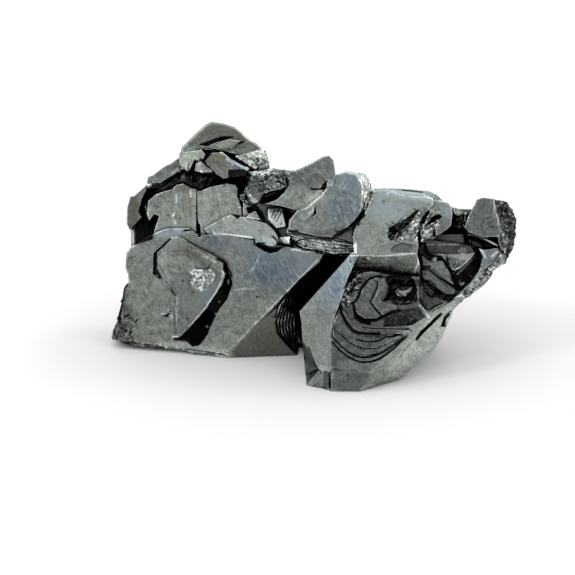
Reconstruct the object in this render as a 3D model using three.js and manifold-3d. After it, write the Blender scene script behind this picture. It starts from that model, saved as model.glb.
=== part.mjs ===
// A hematite specimen: one intergrown group of tabular crystals, modelled as one solid.
// Millimetres, +Z up. The crystals are first laid out in the growth frame: x runs to the right,
// y runs up along the plates and z is their thickness direction, towards the front. The group is then
// leaned back onto its broken lower edge, and what lies below the resting plane is cut off flat.
import * as THREE from 'three';
import { ConvexGeometry } from 'three/addons/geometries/ConvexGeometry.js';
import { mergeVertices } from 'three/addons/utils/BufferGeometryUtils.js';
import Module from 'manifold-3d';

const wasm = await Module();
wasm.setup();

// Driving dimensions.
const LEAN = 22;                 // degrees that the plates lean back from upright
const REST_OFFSET = 2.19;        // distance of the resting plane from the growth frame's origin
const BASAL = [0.22, 0.08];      // slope of the left plates' common face, along x and y
const RHOMB = 0.63;              // outward run, per mm of depth, of a rhombohedral side face
const STEEP = 0.1;               // the same for a broken, nearly upright side
const CENTRE = [-0.24, 8.81];     // middle of the leaned group's footprint
const RIM = 0.1;                 // width of the bright chamfer round a plate's front face
const WELD = 1e-4;               // vertices closer than this are one vertex
const FINEST = 0.07;             // detail finer than this is smoothed out of the joined solid

// ---------------------------------------------------------------- solids

function solidOf(geometry) {
  const bare = new THREE.BufferGeometry();
  bare.setAttribute('position', geometry.getAttribute('position'));
  if (geometry.index) bare.setIndex(geometry.index);
  const merged = mergeVertices(bare, WELD);
  return new wasm.Manifold(new wasm.Mesh({
    numProp: 3,
    vertProperties: new Float32Array(merged.attributes.position.array),
    triVerts: new Uint32Array(merged.index.array),
  }));
}

const join = (solids) => solids.reduce((whole, piece) => whole.add(piece));

// A repeatable stream of numbers from 0 to 1.
function dice(seed) {
  let state = seed;
  return () => {
    state = (state + 0x6d2b79f5) | 0;
    let t = Math.imul(state ^ (state >>> 15), 1 | state);
    t = (t + Math.imul(t ^ (t >>> 7), 61 | t)) ^ t;
    return ((t ^ (t >>> 14)) >>> 0) / 4294967296;
  };
}

// Each side i of the ring moves outwards by spread[i], and the corners follow.
function spreadRing(ring, spread) {
  const n = ring.length;
  const sides = ring.map((a, i) => {
    const along = ring[(i + 1) % n].clone().sub(a).normalize();
    const out = new THREE.Vector2(along.y, -along.x);
    return { from: a.clone().addScaledVector(out, spread[i]), along, out };
  });
  return ring.map((corner, i) => {
    const h = (i + n - 1) % n;
    const cross = sides[h].along.cross(sides[i].along);
    if (Math.abs(cross) < 0.3) {
      const out = sides[h].out.clone().add(sides[i].out).normalize();
      return corner.clone().addScaledVector(out, (spread[h] + spread[i]) / 2);
    }
    const t = sides[i].from.clone().sub(sides[h].from).cross(sides[i].along) / cross;
    return sides[h].from.clone().addScaledVector(sides[h].along, t);
  });
}

// A plane is { at: [x, y, z], dip: [slope along x, slope along y] }.
const heightOn = ({ at, dip }, x, y) => at[2] + dip[0] * (x - at[0]) + dip[1] * (y - at[1]);

const raised = ({ at, dip }, lift) => ({ at: [at[0], at[1], at[2] + lift], dip });

// A solid between rings of the same corners, each ring at its own offset from the plane.
function stack(plane, levels) {
  const n = levels[0].ring.length;
  const positions = [];
  const index = [];
  for (const { ring, lift } of levels) {
    for (const p of ring) positions.push(p.x, p.y, heightOn(plane, p.x, p.y) + lift);
  }
  const cap = (k, front) => {
    for (const [a, b, c] of THREE.ShapeUtils.triangulateShape(levels[k].ring, [])) {
      const tri = front ? [a, b, c] : [c, b, a];
      index.push(...tri.map((v) => v + k * n));
    }
  };
  cap(0, true);
  cap(levels.length - 1, false);
  for (let k = 0; k + 1 < levels.length; k += 1) {
    for (let i = 0; i < n; i += 1) {
      const j = (i + 1) % n;
      const [a, b, c, d] = [k * n + i, k * n + j, (k + 1) * n + i, (k + 1) * n + j];
      index.push(a, c, b, b, c, d);
    }
  }
  const geometry = new THREE.BufferGeometry();
  geometry.setAttribute('position', new THREE.Float32BufferAttribute(positions, 3));
  geometry.setIndex(index);
  return solidOf(geometry);
}

// Corners are [x, y] or [x, y, run]: run is how far the side that starts there moves out per mm.
function ringOf(outline, run) {
  let ring = outline.map(([x, y]) => new THREE.Vector2(x, y));
  let runs = outline.map((corner) => corner[2] ?? run);
  if (THREE.ShapeUtils.isClockWise(ring)) {
    const n = ring.length;
    ring = ring.slice().reverse();
    runs = ring.map((_, i) => runs[(2 * n - 2 - i) % n]);
  }
  return { ring, runs };
}

// A tabular crystal whose front face is the outline on the plane.
function plate({ outline, plane, thick = 4, run = STEEP, rim = 0 }) {
  const { ring, runs } = ringOf(outline, run);
  const levels = [
    { ring, lift: -rim },
    { ring: spreadRing(ring, runs.map((r) => r * (thick - rim))), lift: -thick },
  ];
  if (rim > 0) levels.unshift({ ring: spreadRing(ring, ring.map(() => -rim)), lift: 0 });
  return stack(plane, levels);
}

// A hollow whose floor is the outline on the plane, open towards the front.
function hollow({ outline, plane, deep = 4, run = STEEP }) {
  const { ring, runs } = ringOf(outline, run);
  return stack(plane, [
    { ring: spreadRing(ring, runs.map((r) => r * deep)), lift: deep },
    { ring, lift: 0 },
  ]);
}

// A groove of the given width along a line of points, tapering to nothing at both ends.
function groove({ line, plane, width = 0.2, deep = 0.35 }) {
  const last = line.length - 1;
  const points = line.map(([x, y]) => new THREE.Vector2(x, y));
  const sideOf = (sign) => points.map((p, i) => {
    const along = points[Math.min(i + 1, last)].clone().sub(points[Math.max(i - 1, 0)]).normalize();
    const half = (width / 2) * Math.sin(Math.PI * (0.08 + 0.84 * (i / last)));
    return [p.x - sign * along.y * half, p.y + sign * along.x * half];
  });
  const outline = [...sideOf(1), ...sideOf(-1).reverse()];
  const { ring } = ringOf(outline, 0);
  return stack(plane, [{ ring, lift: deep }, { ring, lift: -deep }]);
}

// Everything behind the plane.
function behind({ at, dip }) {
  const box = new THREE.BoxGeometry(200, 200, 100);
  box.translate(0, 0, -50);
  const normal = new THREE.Vector3(-dip[0], -dip[1], 1).normalize();
  box.applyQuaternion(new THREE.Quaternion().setFromUnitVectors(new THREE.Vector3(0, 0, 1), normal));
  box.translate(...at);
  return solidOf(box);
}

// A convex crystal with a corner at each point.
const gem = (points) => solidOf(new ConvexGeometry(points.map((p) => new THREE.Vector3(...p))));

// Small broken lumps strewn over a patch: each is the hull of a few points round its middle.
function rubble({ patch, count, size, seed }) {
  const roll = dice(seed);
  const lumps = [];
  for (let k = 0; k < count; k += 1) {
    const [cx, cy, cz] = patch(roll(), roll());
    const reach = size * (0.6 + 0.8 * roll());
    const corners = [];
    for (let i = 0; i < 6; i += 1) {
      const turn = (2 * Math.PI * (i + 0.6 * roll())) / 6;
      const up = (roll() - 0.5) * 1.5;
      corners.push([
        cx + reach * Math.cos(turn),
        cy + 0.8 * reach * Math.sin(turn),
        cz + reach * up,
      ]);
    }
    lumps.push(gem(corners));
  }
  return join(lumps);
}

// A four-sided patch for rubble, given by its corners in order.
const quadPatch = (a, b, c, d) => (u, v) => [0, 1, 2].map((i) => (
  (1 - v) * ((1 - u) * a[i] + u * b[i]) + v * ((1 - u) * d[i] + u * c[i])
));

// ---------------------------------------------------------------- the left slab

const SLAB = { at: [-11, 4, -4.1], dip: BASAL };
const onSlab = (x, y, lift = 0) => [x, y, heightOn(SLAB, x, y) + lift];
const slabPlane = (lift, dip = BASAL, at = [-11, 12]) => ({ at: onSlab(at[0], at[1], lift), dip });

function leftSlab() {
  const body = plate({
    outline: [
      [-25.6, 6.8, -0.1], [-24.9, 8.8, -0.1], [-24.3, 11, -0.1], [-24, 12.9, -0.05], [-23.4, 13.7, 0],
      [-23.5, 14.6, 0], [-23.8, 15.4, 0], [-23.7, 17.3, 0], [-23, 18.1, 0], [-21.7, 19, 0],
      [-20.2, 19.8, 0], [-18.5, 20.4, 0], [-15.8, 20.4, 0], [-14.5, 19.5, 0], [-12.5, 19.7, 0],
      [-7.6, 19, 0], [-2.2, 17.9, 0], [1.1, 17.1, 0.3], [0.6, 16.1, 0.62], [-1.9, 13.9, 0.62],
      [-5, 10.5, 0.62], [-7.5, 8.1, 0.62], [-9.7, 5.7, 0.4], [-10.9, 4.6, 0], [-11, 4, 0],
      [-13, 4.5, 0], [-15.5, 4.8, 0], [-19, 5.4, 0], [-22, 5.6, 0], [-24.2, 6, -0.1],
    ],
    plane: SLAB,
    thick: 6,
    rim: 0.14,
  });
  const chipAt = quadPatch(onSlab(-25.3, 6.6, -0.3), onSlab(-23.4, 6.4, -0.1), onSlab(-23.6, 9.2, -0.25),
    onSlab(-24.5, 9.2, -0.4));
  const chips = rubble({ patch: chipAt, count: 7, size: 0.42, seed: 11 });
  const lowEdge = quadPatch(onSlab(-23.5, 6, -0.5), onSlab(-11.5, 4.4, -0.5), onSlab(-11.5, 4.6, -1.2),
    onSlab(-23.5, 6.2, -1.2));
  const crumbs = rubble({ patch: lowEdge, count: 6, size: 0.3, seed: 12 });
  const marks = [
    groove({ line: [[-16.5, 20.2], [-16, 20.1], [-15.6, 20.1]], plane: SLAB, width: 0.35, deep: 0.8 }),
    groove({ line: [[-19.1, 9.5], [-18.7, 9.3], [-18.2, 9.7]], plane: SLAB, width: 0.3, deep: 0.2 }),
    groove({ line: [[-7.5, 11.8], [-7.2, 11.6]], plane: SLAB, width: 0.3, deep: 0.3 }),
  ];
  return join([body, chips, crumbs]).subtract(join(marks));
}

// The bevelled plate grown on the slab: sunk into it at the left, standing proud at the right.
const CREST = { at: onSlab(-11.3, 14.5, 1.25), dip: [BASAL[0] + 0.13, BASAL[1] - 0.05] };

function slabPlate() {
  const body = plate({
    outline: [
      [-18, 19.3, 0.1], [-20, 17.3, 0.1], [-20.2, 14.8, 0.1], [-19.4, 14, 0.1], [-17.4, 12, 0.1],
      [-17.6, 10, 0.1], [-17.4, 7, 0.2], [-16.6, 6.9, 1.5], [-15.3, 8.7, 1.25], [-13, 11.2, 1],
      [-11.6, 13.2, 0.75], [-11.2, 14.3, 0.5], [-11.4, 15.1, 0.3], [-11.4, 16.1, 0.15],
      [-13, 17.1, 0.15], [-15, 18.1, 0.15], [-16.5, 19.1, 0.15], [-17.2, 19.4, 0.1],
    ],
    plane: CREST,
    thick: 3.4,
    rim: 0.12,
  });
  const step = plate({
    outline: [
      [-15.8, 17.9], [-15.2, 15.6], [-14.6, 15.3], [-13.4, 15.4], [-12.8, 15.8], [-12.2, 16.2],
      [-13.2, 16.8], [-14.6, 17.6],
    ],
    plane: { at: [CREST.at[0], CREST.at[1], CREST.at[2] + 0.12], dip: CREST.dip },
    thick: 1,
  });
  const sparkle = quadPatch([-15.6, 12.9, heightOn(CREST, -15.6, 12.9) - 0.12],
    [-13, 12.8, heightOn(CREST, -13, 12.8) - 0.12], [-12.4, 14.9, heightOn(CREST, -12.4, 14.9) - 0.12],
    [-15.6, 14.9, heightOn(CREST, -15.6, 14.9) - 0.12]);
  const flakes = rubble({ patch: sparkle, count: 10, size: 0.32, seed: 21 });
  const cuts = [
    groove({ line: [
      [-18.1, 19.2], [-20.1, 17.2], [-20.2, 14.7], [-19.4, 14],
    ], plane: SLAB, width: 0.4, deep: 0.6 }),
    groove({ line: [[-19.6, 15.9], [-18.6, 14.2], [-17.3, 12.1]], plane: SLAB, width: 0.2, deep: 0.3 }),
    groove({ line: [[-20, 14.9], [-18.7, 13.6], [-17.6, 11.9]], plane: SLAB, width: 0.22, deep: 0.3 }),
    groove({ line: [[-18.6, 17.4], [-17.5, 17.2], [-16, 17]], plane: CREST, width: 0.25, deep: 0.2 }),
    groove({ line: [[-18.5, 17.6], [-17.2, 17.6], [-16, 17.8]], plane: CREST, width: 0.15, deep: 0.15 }),
  ];
  return { solid: join([body, step, flakes]), cuts: join(cuts) };
}

// ---------------------------------------------------------------- the foot between slab and main crystal

const FOOT = { at: [-10.3, 5.2, -3.95], dip: [-0.1, 0.34] };
const FOOT_SHEETS = 7;           // nested growth sheets, each lower than the one before
const FOOT_SHEET_DROP = 0.45;
const FOOT_SHEET_RUN = 0.5;      // how far a sheet's right edge slopes out, per mm

// The sheets' left side, just inside the slab's lower right edge.
const UNDER_SLAB_EDGE = [[-5.3, 10.7], [-7.7, 8.4], [-10, 6], [-11.2, 4.8]];

// Sheet k's right edge: a bow from the foot of the crevice to its top, bulging left less and less.
const FOOT_BOW = [[-2.3, 4.5], [-3.6, 5.75], [-4.75, 7.1], [-5, 8.5], [-4.4, 10.4], [-3.1, 12.4]];

function footBow(k) {
  const squeeze = 1 - 0.135 * k;
  const flatten = 1 - 0.02 * k;
  return FOOT_BOW.map(([x, y]) => [-2 + (x + 2) * squeeze, 8.3 + (y - 8.3) * flatten, FOOT_SHEET_RUN]);
}

function foot() {
  const sheets = [];
  for (let k = 0; k < FOOT_SHEETS; k += 1) {
    sheets.push(plate({
      outline: [[-11.2, 4], [-2.6 + 0.06 * k, 3.9], ...footBow(k), [-3.5, 12.6], ...UNDER_SLAB_EDGE],
      plane: raised(FOOT, -FOOT_SHEET_DROP * k),
      thick: 2 * FOOT_SHEET_DROP,
      run: 0,
    }));
  }
  const core = plate({
    outline: [[-11.2, 4], [-5.5, 3.9], ...UNDER_SLAB_EDGE],
    plane: raised(FOOT, -0.5),
    thick: 5,
    run: 0,
  });
  const bed = plate({
    outline: [[-8, 4], [2, 4], [4.6, 17.2], [-1, 17.2], [-8, 12]],
    plane: { at: [-2, 8, -7.6], dip: [0.5, 0] },
    thick: 4,
  });
  const knob = gem([
    [-2.5, 8.1, -6.3], [-2, 8.2, -6.2], [-2.1, 8.9, -6.2], [-2.5, 8.8, -6.3], [-2.2, 8.5, -5.4],
    [-2.3, 8.4, -9],
  ]);
  return join([...sheets, core, bed, knob]);
}

// ---------------------------------------------------------------- the main crystal

const LEFT_FACE = { at: [1.95, 7.3, 5.44], dip: [1.017, -0.19] };
const LOW_FACE = { at: [7, 2.3, 6.3], dip: [-0.81, 0.61] };
const TOE_FACE = { at: [5, 2.5, 6.38], dip: [0, 0.17] };
const TOP_FACE = { at: [8.5, 16.9, 6.1], dip: [0.09, -0.5] };
const CHIN_FACE = { at: [-1.4, 6, 2.28], dip: [2.07, 0.39] };
const HEEL_FACE = { at: [2, 0, 5.9], dip: [0.74, 0.1] };
const FRONT_FLOOR = { at: [5, 3, 6.3], dip: [0, -0.2] };

function mainCrystal() {
  const trunk = plate({
    outline: [
      [4.6, 17.3], [-1.9, 10], [-1.7, 8.5], [-1.6, 6.5], [-1.4, 4.6], [-1.1, 0.6], [0.3, 0.1],
      [2, -0.2], [5.2, -0.2], [6.5, 0.4], [9, 1.2], [10, 1.5], [11, 1.9], [13, 3.7], [15, 5.5],
      [15.9, 6.7], [16.4, 8], [17, 9.2], [17.2, 10], [17, 11], [14, 12], [13.2, 13.6], [13.2, 15],
      [12.7, 17.2], [12.9, 18.2], [10.6, 18.6], [9.5, 18.75],
    ],
    plane: { at: [5, 8, 9], dip: [0, 0] },
    thick: 16,
    run: 0,
  });
  const basin = hollow({
    outline: [
      [4.8, 15.1, 0.1], [4.2, 13.9, 0.1], [3.75, 12.4, 0.1], [3.2, 11, 0.1], [2.6, 9.6, 0.1],
      [2.25, 8.4, 0.1], [1.95, 6.5, 0], [1.95, -3, 0], [22, -3, 0], [22, 14, 0.9],
      [12.4, 14.2, 0.9],
    ],
    plane: FRONT_FLOOR,
    deep: 7,
  });
  const flutes = [
    [-0.4, 2.1, -0.3, 0.2], [0.5, 2.3, 0.6, 0.1], [1.15, 2.3, 1.1, 0.2], [1.8, 2.2, 1.9, 0],
  ].map(([x0, y0, x1, y1]) => groove({
    line: [[x0, y0], [(x0 + x1) / 2, (y0 + y1) / 2], [x1, y1]], plane: HEEL_FACE, width: 0.34, deep: 0.25,
  }));
  const scar = groove({ line: [
    [12.6, 6.4], [13.4, 7.3], [14.2, 8.2], [15, 8.9], [15.7, 9.5],
  ], plane: LOW_FACE, width: 0.42, deep: 0.7 });
  const nick = hollow({ outline: [
    [15.9, 8.2], [16.2, 9.2], [16.9, 9.9], [17.6, 9.6], [17, 8.2],
  ], plane: raised(LOW_FACE, -0.7), deep: 3, run: 0.3 });
  const faces = [LEFT_FACE, LOW_FACE, TOE_FACE, TOP_FACE, CHIN_FACE, HEEL_FACE];
  const body = faces.reduce((solid, face) => solid.intersect(behind(face)), trunk);
  return body.subtract(join([basin, scar, nick, ...flutes]));
}

// Growth terraces on the front face, outermost first. A step lies a little above the one before;
// a line without a step is only a seam.
const TERRACES = [
  { line: [
    [2.1, 6.2], [3, 5.2], [4, 4.4], [5, 3.85], [6, 3.62], [7, 3.7], [8, 4], [9, 4.65], [10, 5.4],
    [11.4, 6.8],
  ], width: 0.24, step: true },
  { line: [
    [2.2, 6.75], [3, 5.9], [4, 5], [5, 4.42], [6, 4.22], [7, 4.3], [8, 4.6], [9, 5.15], [10, 5.9],
    [11, 6.8],
  ], width: 0.22, step: true },
  { line: [[4.6, 4.85], [5.5, 4.6], [6.5, 4.55], [7.5, 4.65], [8.8, 5.3], [10.2, 6.3]], width: 0.14 },
  { line: [
    [2.3, 7.8], [3.5, 6.9], [4.2, 6.2], [5, 5.7], [6.2, 5.35], [7.6, 5.4], [9, 5.95], [10.4, 6.7],
  ], width: 0.12, step: true },
  { line: [[5.2, 6.6], [6, 6.3], [7, 6.15], [8, 6.35], [9, 6.85], [10.6, 7.05]], width: 0.2 },
  { line: [[6.3, 6.75], [7.3, 6.6], [8.8, 7.05]], width: 0.14 },
];
const TERRACE_RISE = 0.15;

function terraces() {
  const layers = [];
  const lines = [];
  let lift = 0;
  for (const { line, width, step } of TERRACES) {
    lines.push(groove({ line, plane: raised(FRONT_FLOOR, lift), width, deep: 0.45 }));
    if (step) {
      lift += TERRACE_RISE;
      const outline = [...line, [11.8, 9], [9, 12], [3.7, 12], [2.9, 10.2], [2.35, 8.6]];
      layers.push(plate({ outline, plane: raised(FRONT_FLOOR, lift), thick: 2, run: 0.3 }));
    }
  }
  return { solid: join(layers).intersect(behind(LOW_FACE)), cuts: join(lines) };
}

// The hillock inside the terraces: two plateaus, a broken rim at its left and a stepped pit.
const MOUND = raised(FRONT_FLOOR, 1.15);
const SUMMIT = raised(FRONT_FLOOR, 1.4);

function mound() {
  const skirt = plate({
    outline: [
      [3.1, 11.2, 0.2], [3.3, 9.9, 0.3], [3.9, 8.7, 0.4], [4.6, 7.85, 0.4], [5.3, 7.5, 0.4],
      [6.5, 7.3, 0.4], [8, 7.25, 0.4], [10, 7.15, 0.4], [12, 7.2, 0], [14, 9, 0], [13, 10.9, 0],
      [12.9, 12.5, 0], [13, 14.3, 0.1], [10.5, 14.5, 0.1], [8, 14.9, 0.1], [6, 15.1, 0.1],
      [5, 14.8, 0.1], [4.2, 13.5, 0.1], [3.6, 12.4, 0.1],
    ],
    plane: raised(FRONT_FLOOR, 0.78),
    thick: 2.5,
    rim: 0.08,
  });
  const trench = hollow({
    outline: [
      [5, 9.7], [5.4, 9], [6.5, 8.3], [8, 8.1], [12, 8.3], [13.6, 9.3], [12.8, 10.2], [8.6, 9.2],
      [6.4, 8.9], [5, 10.4],
    ],
    plane: raised(FRONT_FLOOR, 0.2),
    deep: 2,
  });
  const plateau = plate({
    outline: [
      [4.9, 11], [5.6, 11.9], [6, 13], [6.7, 13.8], [7.7, 14.2], [9.5, 14.1], [10, 11], [8.2, 9.5],
      [7.6, 9.1], [6.2, 9.1], [5.3, 9.7], [4.9, 10.4],
    ],
    plane: MOUND,
    thick: 2.5,
    run: 0.25,
  });
  const summit = plate({
    outline: [
      [7.1, 11], [7.9, 12.6], [7.9, 14.1], [9, 13.8], [9.2, 12.6], [8.1, 11.35], [10.1, 10.7],
      [10.3, 10.1], [8.4, 9.55],
    ],
    plane: SUMMIT,
    thick: 2.5,
    run: 0.3,
  });
  const apron = plate({
    outline: [[8.6, 9.4], [10.4, 10.1], [12.8, 10.4], [13.9, 9.3], [12.1, 8.2], [8.4, 8.1]],
    plane: { at: [11, 9.2, heightOn(FRONT_FLOOR, 11, 9.2) + 0.6], dip: [-0.05, 0.45] },
    thick: 2.5,
  });
  const pit = hollow({
    outline: [
      [8.6, 11.4], [9.3, 12.3], [9.2, 13.4], [9.9, 14.1], [11.2, 13.7], [12.3, 14], [12.7, 12.6],
      [12.2, 11.5], [11, 11.2], [9.9, 11.5],
    ],
    plane: raised(FRONT_FLOOR, -1.3),
    deep: 4,
    run: 0.04,
  });
  const seams = [
    { line: [
      [3.1, 11.3], [3.3, 9.9], [3.9, 8.7], [4.6, 7.8], [5.3, 7.35], [6.5, 7.2], [8.2, 7.15],
    ], width: 0.42, lift: 0.5 },
    { line: [[5.4, 7.9], [7.5, 7.8], [10, 7.75], [12.1, 7.6]], width: 0.16, lift: 0.78 },
    { line: [[3.4, 11.8], [3.8, 13], [4.6, 14.2], [5.8, 14.9], [7.2, 15]], width: 0.3, lift: 0.6 },
    { line: [[4.8, 10.9], [5.5, 11.9], [5.9, 13], [6.7, 13.9], [7.8, 14.4]], width: 0.34, lift: 0.78 },
    { line: [[4, 12], [4.7, 12.9], [5, 13.8], [6, 14.3]], width: 0.22, lift: 0.78 },
    { line: [[3.6, 10.9], [4.3, 11.1], [5, 10.8]], width: 0.25, lift: 0.78 },
  ].map(({ line, width, lift }) => groove({ line, plane: raised(FRONT_FLOOR, lift), width, deep: 0.5 }));
  const hill = join([skirt.subtract(join([trench, ...seams])), plateau, summit, apron]);
  return { solid: hill.intersect(behind(LOW_FACE)), pit };
}

// Ridges like the rungs of a ladder, each leaning up to the right.
function rungs({ from, to, count, length, tilt, lift, plane, width = 0.16 }) {
  const ribs = [];
  for (let k = 0; k < count; k += 1) {
    const share = k / (count - 1);
    const [x, y] = [0, 1].map((i) => from[i] + share * (to[i] - from[i]));
    const reach = length * (0.75 + 0.25 * Math.cos(2.1 * k));
    const [dx, dy] = [Math.cos(tilt) * reach, Math.sin(tilt) * reach];
    const z = heightOn(plane, x, y);
    ribs.push(gem([
      [x, y, z + lift], [x + dx, y + dy, z + lift * 0.6], [x + width, y - width, z - 0.8],
      [x - width, y + width, z - 0.8], [x + dx + width, y + dy - width, z - 0.8],
      [x + dx - width, y + dy + width, z - 0.8],
    ]));
  }
  return join(ribs);
}

function moundDetail() {
  const floor = raised(FRONT_FLOOR, -1.0);
  const ladder = rungs({
    from: [8.9, 11.9], to: [11, 11.5], count: 6, length: 1.5, tilt: 2.2, lift: 0.9, plane: floor,
  });
  const face = plate({
    outline: [[10, 12.6], [10.9, 13.2], [12.3, 13.1], [11.9, 12.3], [11.2, 11.8], [10.3, 11.9]],
    plane: { at: [11, 12.5, heightOn(FRONT_FLOOR, 11, 12.5) + 0.2], dip: [-0.2, -0.5] },
    thick: 2,
  });
  const onFloor = (x, y, lift) => [x, y, heightOn(FRONT_FLOOR, x, y) + lift];
  const lumpAt = (x0, y0, x1, y1, lift) => quadPatch(
    onFloor(x0, y0, lift), onFloor(x1, y0, lift), onFloor(x1 + 0.8, y1, lift), onFloor(x0 + 1, y1, lift),
  );
  const lumps = rubble({ patch: lumpAt(3.6, 10.8, 4.9, 14.4, 0.65), count: 7, size: 0.5, seed: 31 });
  const flecks = rubble({ patch: lumpAt(6.6, 13.7, 8.6, 14.6, 1), count: 4, size: 0.3, seed: 32 });
  const grit = rubble({ patch: lumpAt(10.2, 10.3, 11.9, 11.1, 0.5), count: 5, size: 0.28, seed: 33 });
  return join([ladder, face, lumps, flecks, grit]);
}

// ---------------------------------------------------------------- the upper left plates

function upperLeft() {
  const bed = plate({
    outline: [
      [-22.8, 18], [-22.9, 21.5], [-22.4, 23.5], [-20.3, 26], [-16.5, 28.3], [-8, 28], [-5, 26], [-2, 25],
      [-2, 18],
    ],
    plane: slabPlane(-5),
    thick: 4,
  });
  const first = plate({
    outline: [
      [-20.9, 23.8], [-20, 24.6], [-19, 25], [-17.8, 25.3], [-17.7, 18.5], [-20.3, 18.5], [-20.2, 20],
      [-19.6, 21.9], [-20.2, 22.1], [-20.8, 21.3], [-21.1, 22.2],
    ],
    plane: slabPlane(-0.95, [BASAL[0] + 0.02, BASAL[1] + 0.06]),
    thick: 3.2,
    rim: RIM,
  });
  const second = plate({
    outline: [
      [-17.9, 25.3], [-17.4, 25.8], [-16.5, 26], [-15.5, 25.4], [-14.9, 25.3], [-14.9, 18.5], [-18, 18.5],
    ],
    plane: slabPlane(-0.8, [BASAL[0] - 0.04, BASAL[1] + 0.02]),
    thick: 3.2,
    rim: 0.08,
  });
  const third = plate({
    outline: [
      [-15, 25.2], [-14.2, 25.1], [-13.2, 25.6], [-11, 26.05], [-10, 25.9], [-9.6, 25.4], [-9.7, 24.5],
      [-9.2, 23], [-9, 21], [-9, 18.5], [-14.6, 18.5],
    ],
    plane: slabPlane(-0.7, BASAL),
    thick: 3.2,
    rim: RIM,
  });
  const tongue = plate({
    outline: [
      [-14, 20.3], [-11.3, 21.8], [-10.6, 22.05], [-9.1, 21.85], [-7.5, 21.5], [-6, 21], [-5.1, 20.2],
      [-4.6, 19.4], [-4.5, 18.7], [-5.2, 18.05], [-6.4, 18.1], [-7.4, 18.3], [-7.6, 19],
      [-12.5, 19.6], [-13.3, 19.3],
    ],
    plane: { at: onSlab(-9, 20, 0.1), dip: [BASAL[0] + 0.11, BASAL[1]] },
    thick: 3,
    run: 0,
    rim: RIM,
  });
  const rimPlate = plate({
    outline: [
      [-23.3, 20.2], [-23.7, 21], [-23.6, 23], [-23.2, 24.4], [-22.8, 24.4], [-22, 25.1], [-21.1, 25.9],
      [-21.1, 25.4], [-21.8, 24], [-22.2, 22.5], [-21.8, 21.8], [-22.6, 20.9],
    ],
    plane: slabPlane(-1.7, [BASAL[0], BASAL[1] - 0.1]),
    thick: 5,
    run: 0,
  });
  const roof = plate({
    outline: [
      [-21, 26.8], [-20, 27.3], [-19, 28.1], [-18, 28.6], [-17, 29.3], [-15.5, 29.5], [-15.9, 28],
      [-17.2, 27.6], [-18, 27], [-19.4, 26.1], [-21.1, 26],
    ],
    plane: slabPlane(-1.4, BASAL),
    thick: 5,
    run: 0,
  });
  const sliver = gem([
    [-21.35, 23, -6.9], [-21.1, 24, -6.9], [-20.9, 22.8, -7.1], [-21.5, 22, -8], [-20.8, 24, -11],
    [-21.4, 22, -11],
  ]);
  const dagger = gem([
    [-17.1, 28.2, -4.6], [-16.9, 27.5, -5], [-18.7, 26.5, -5.6], [-17.5, 27.3, -5], [-18, 27.3, -9],
    [-17, 26.8, -9],
  ]);
  const cuts = [
    hollow({
      outline: [
        [-7.5, 18.2], [-6.3, 17.45], [-5.6, 17.2], [-4.7, 17.4], [-3.9, 18.1], [-4.8, 18.7],
        [-7.3, 18.6],
      ],
      plane: slabPlane(-1.5),
      deep: 1.9,
      run: 0,
    }),
    hollow({
      outline: [[-14.9, 21.4], [-14.4, 20.8], [-14.3, 19.3], [-14.6, 19.2], [-14.8, 20.5]],
      plane: slabPlane(-2),
      deep: 2.5,
      run: 0,
    }),
    hollow({ outline: [
      [-10.5, 22.1], [-9.3, 21.95], [-9.6, 21.5],
    ], plane: slabPlane(-1), deep: 3, run: 0 }),
  ];
  return {
    solid: join([bed, first, second, third, tongue, rimPlate, roof, sliver, dagger]),
    cuts: join(cuts),
  };
}

// The broken knob at the top.
const KNOB = slabPlane(1.2, [BASAL[0] - 0.05, BASAL[1] - 0.12], [-12, 31]);

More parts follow.
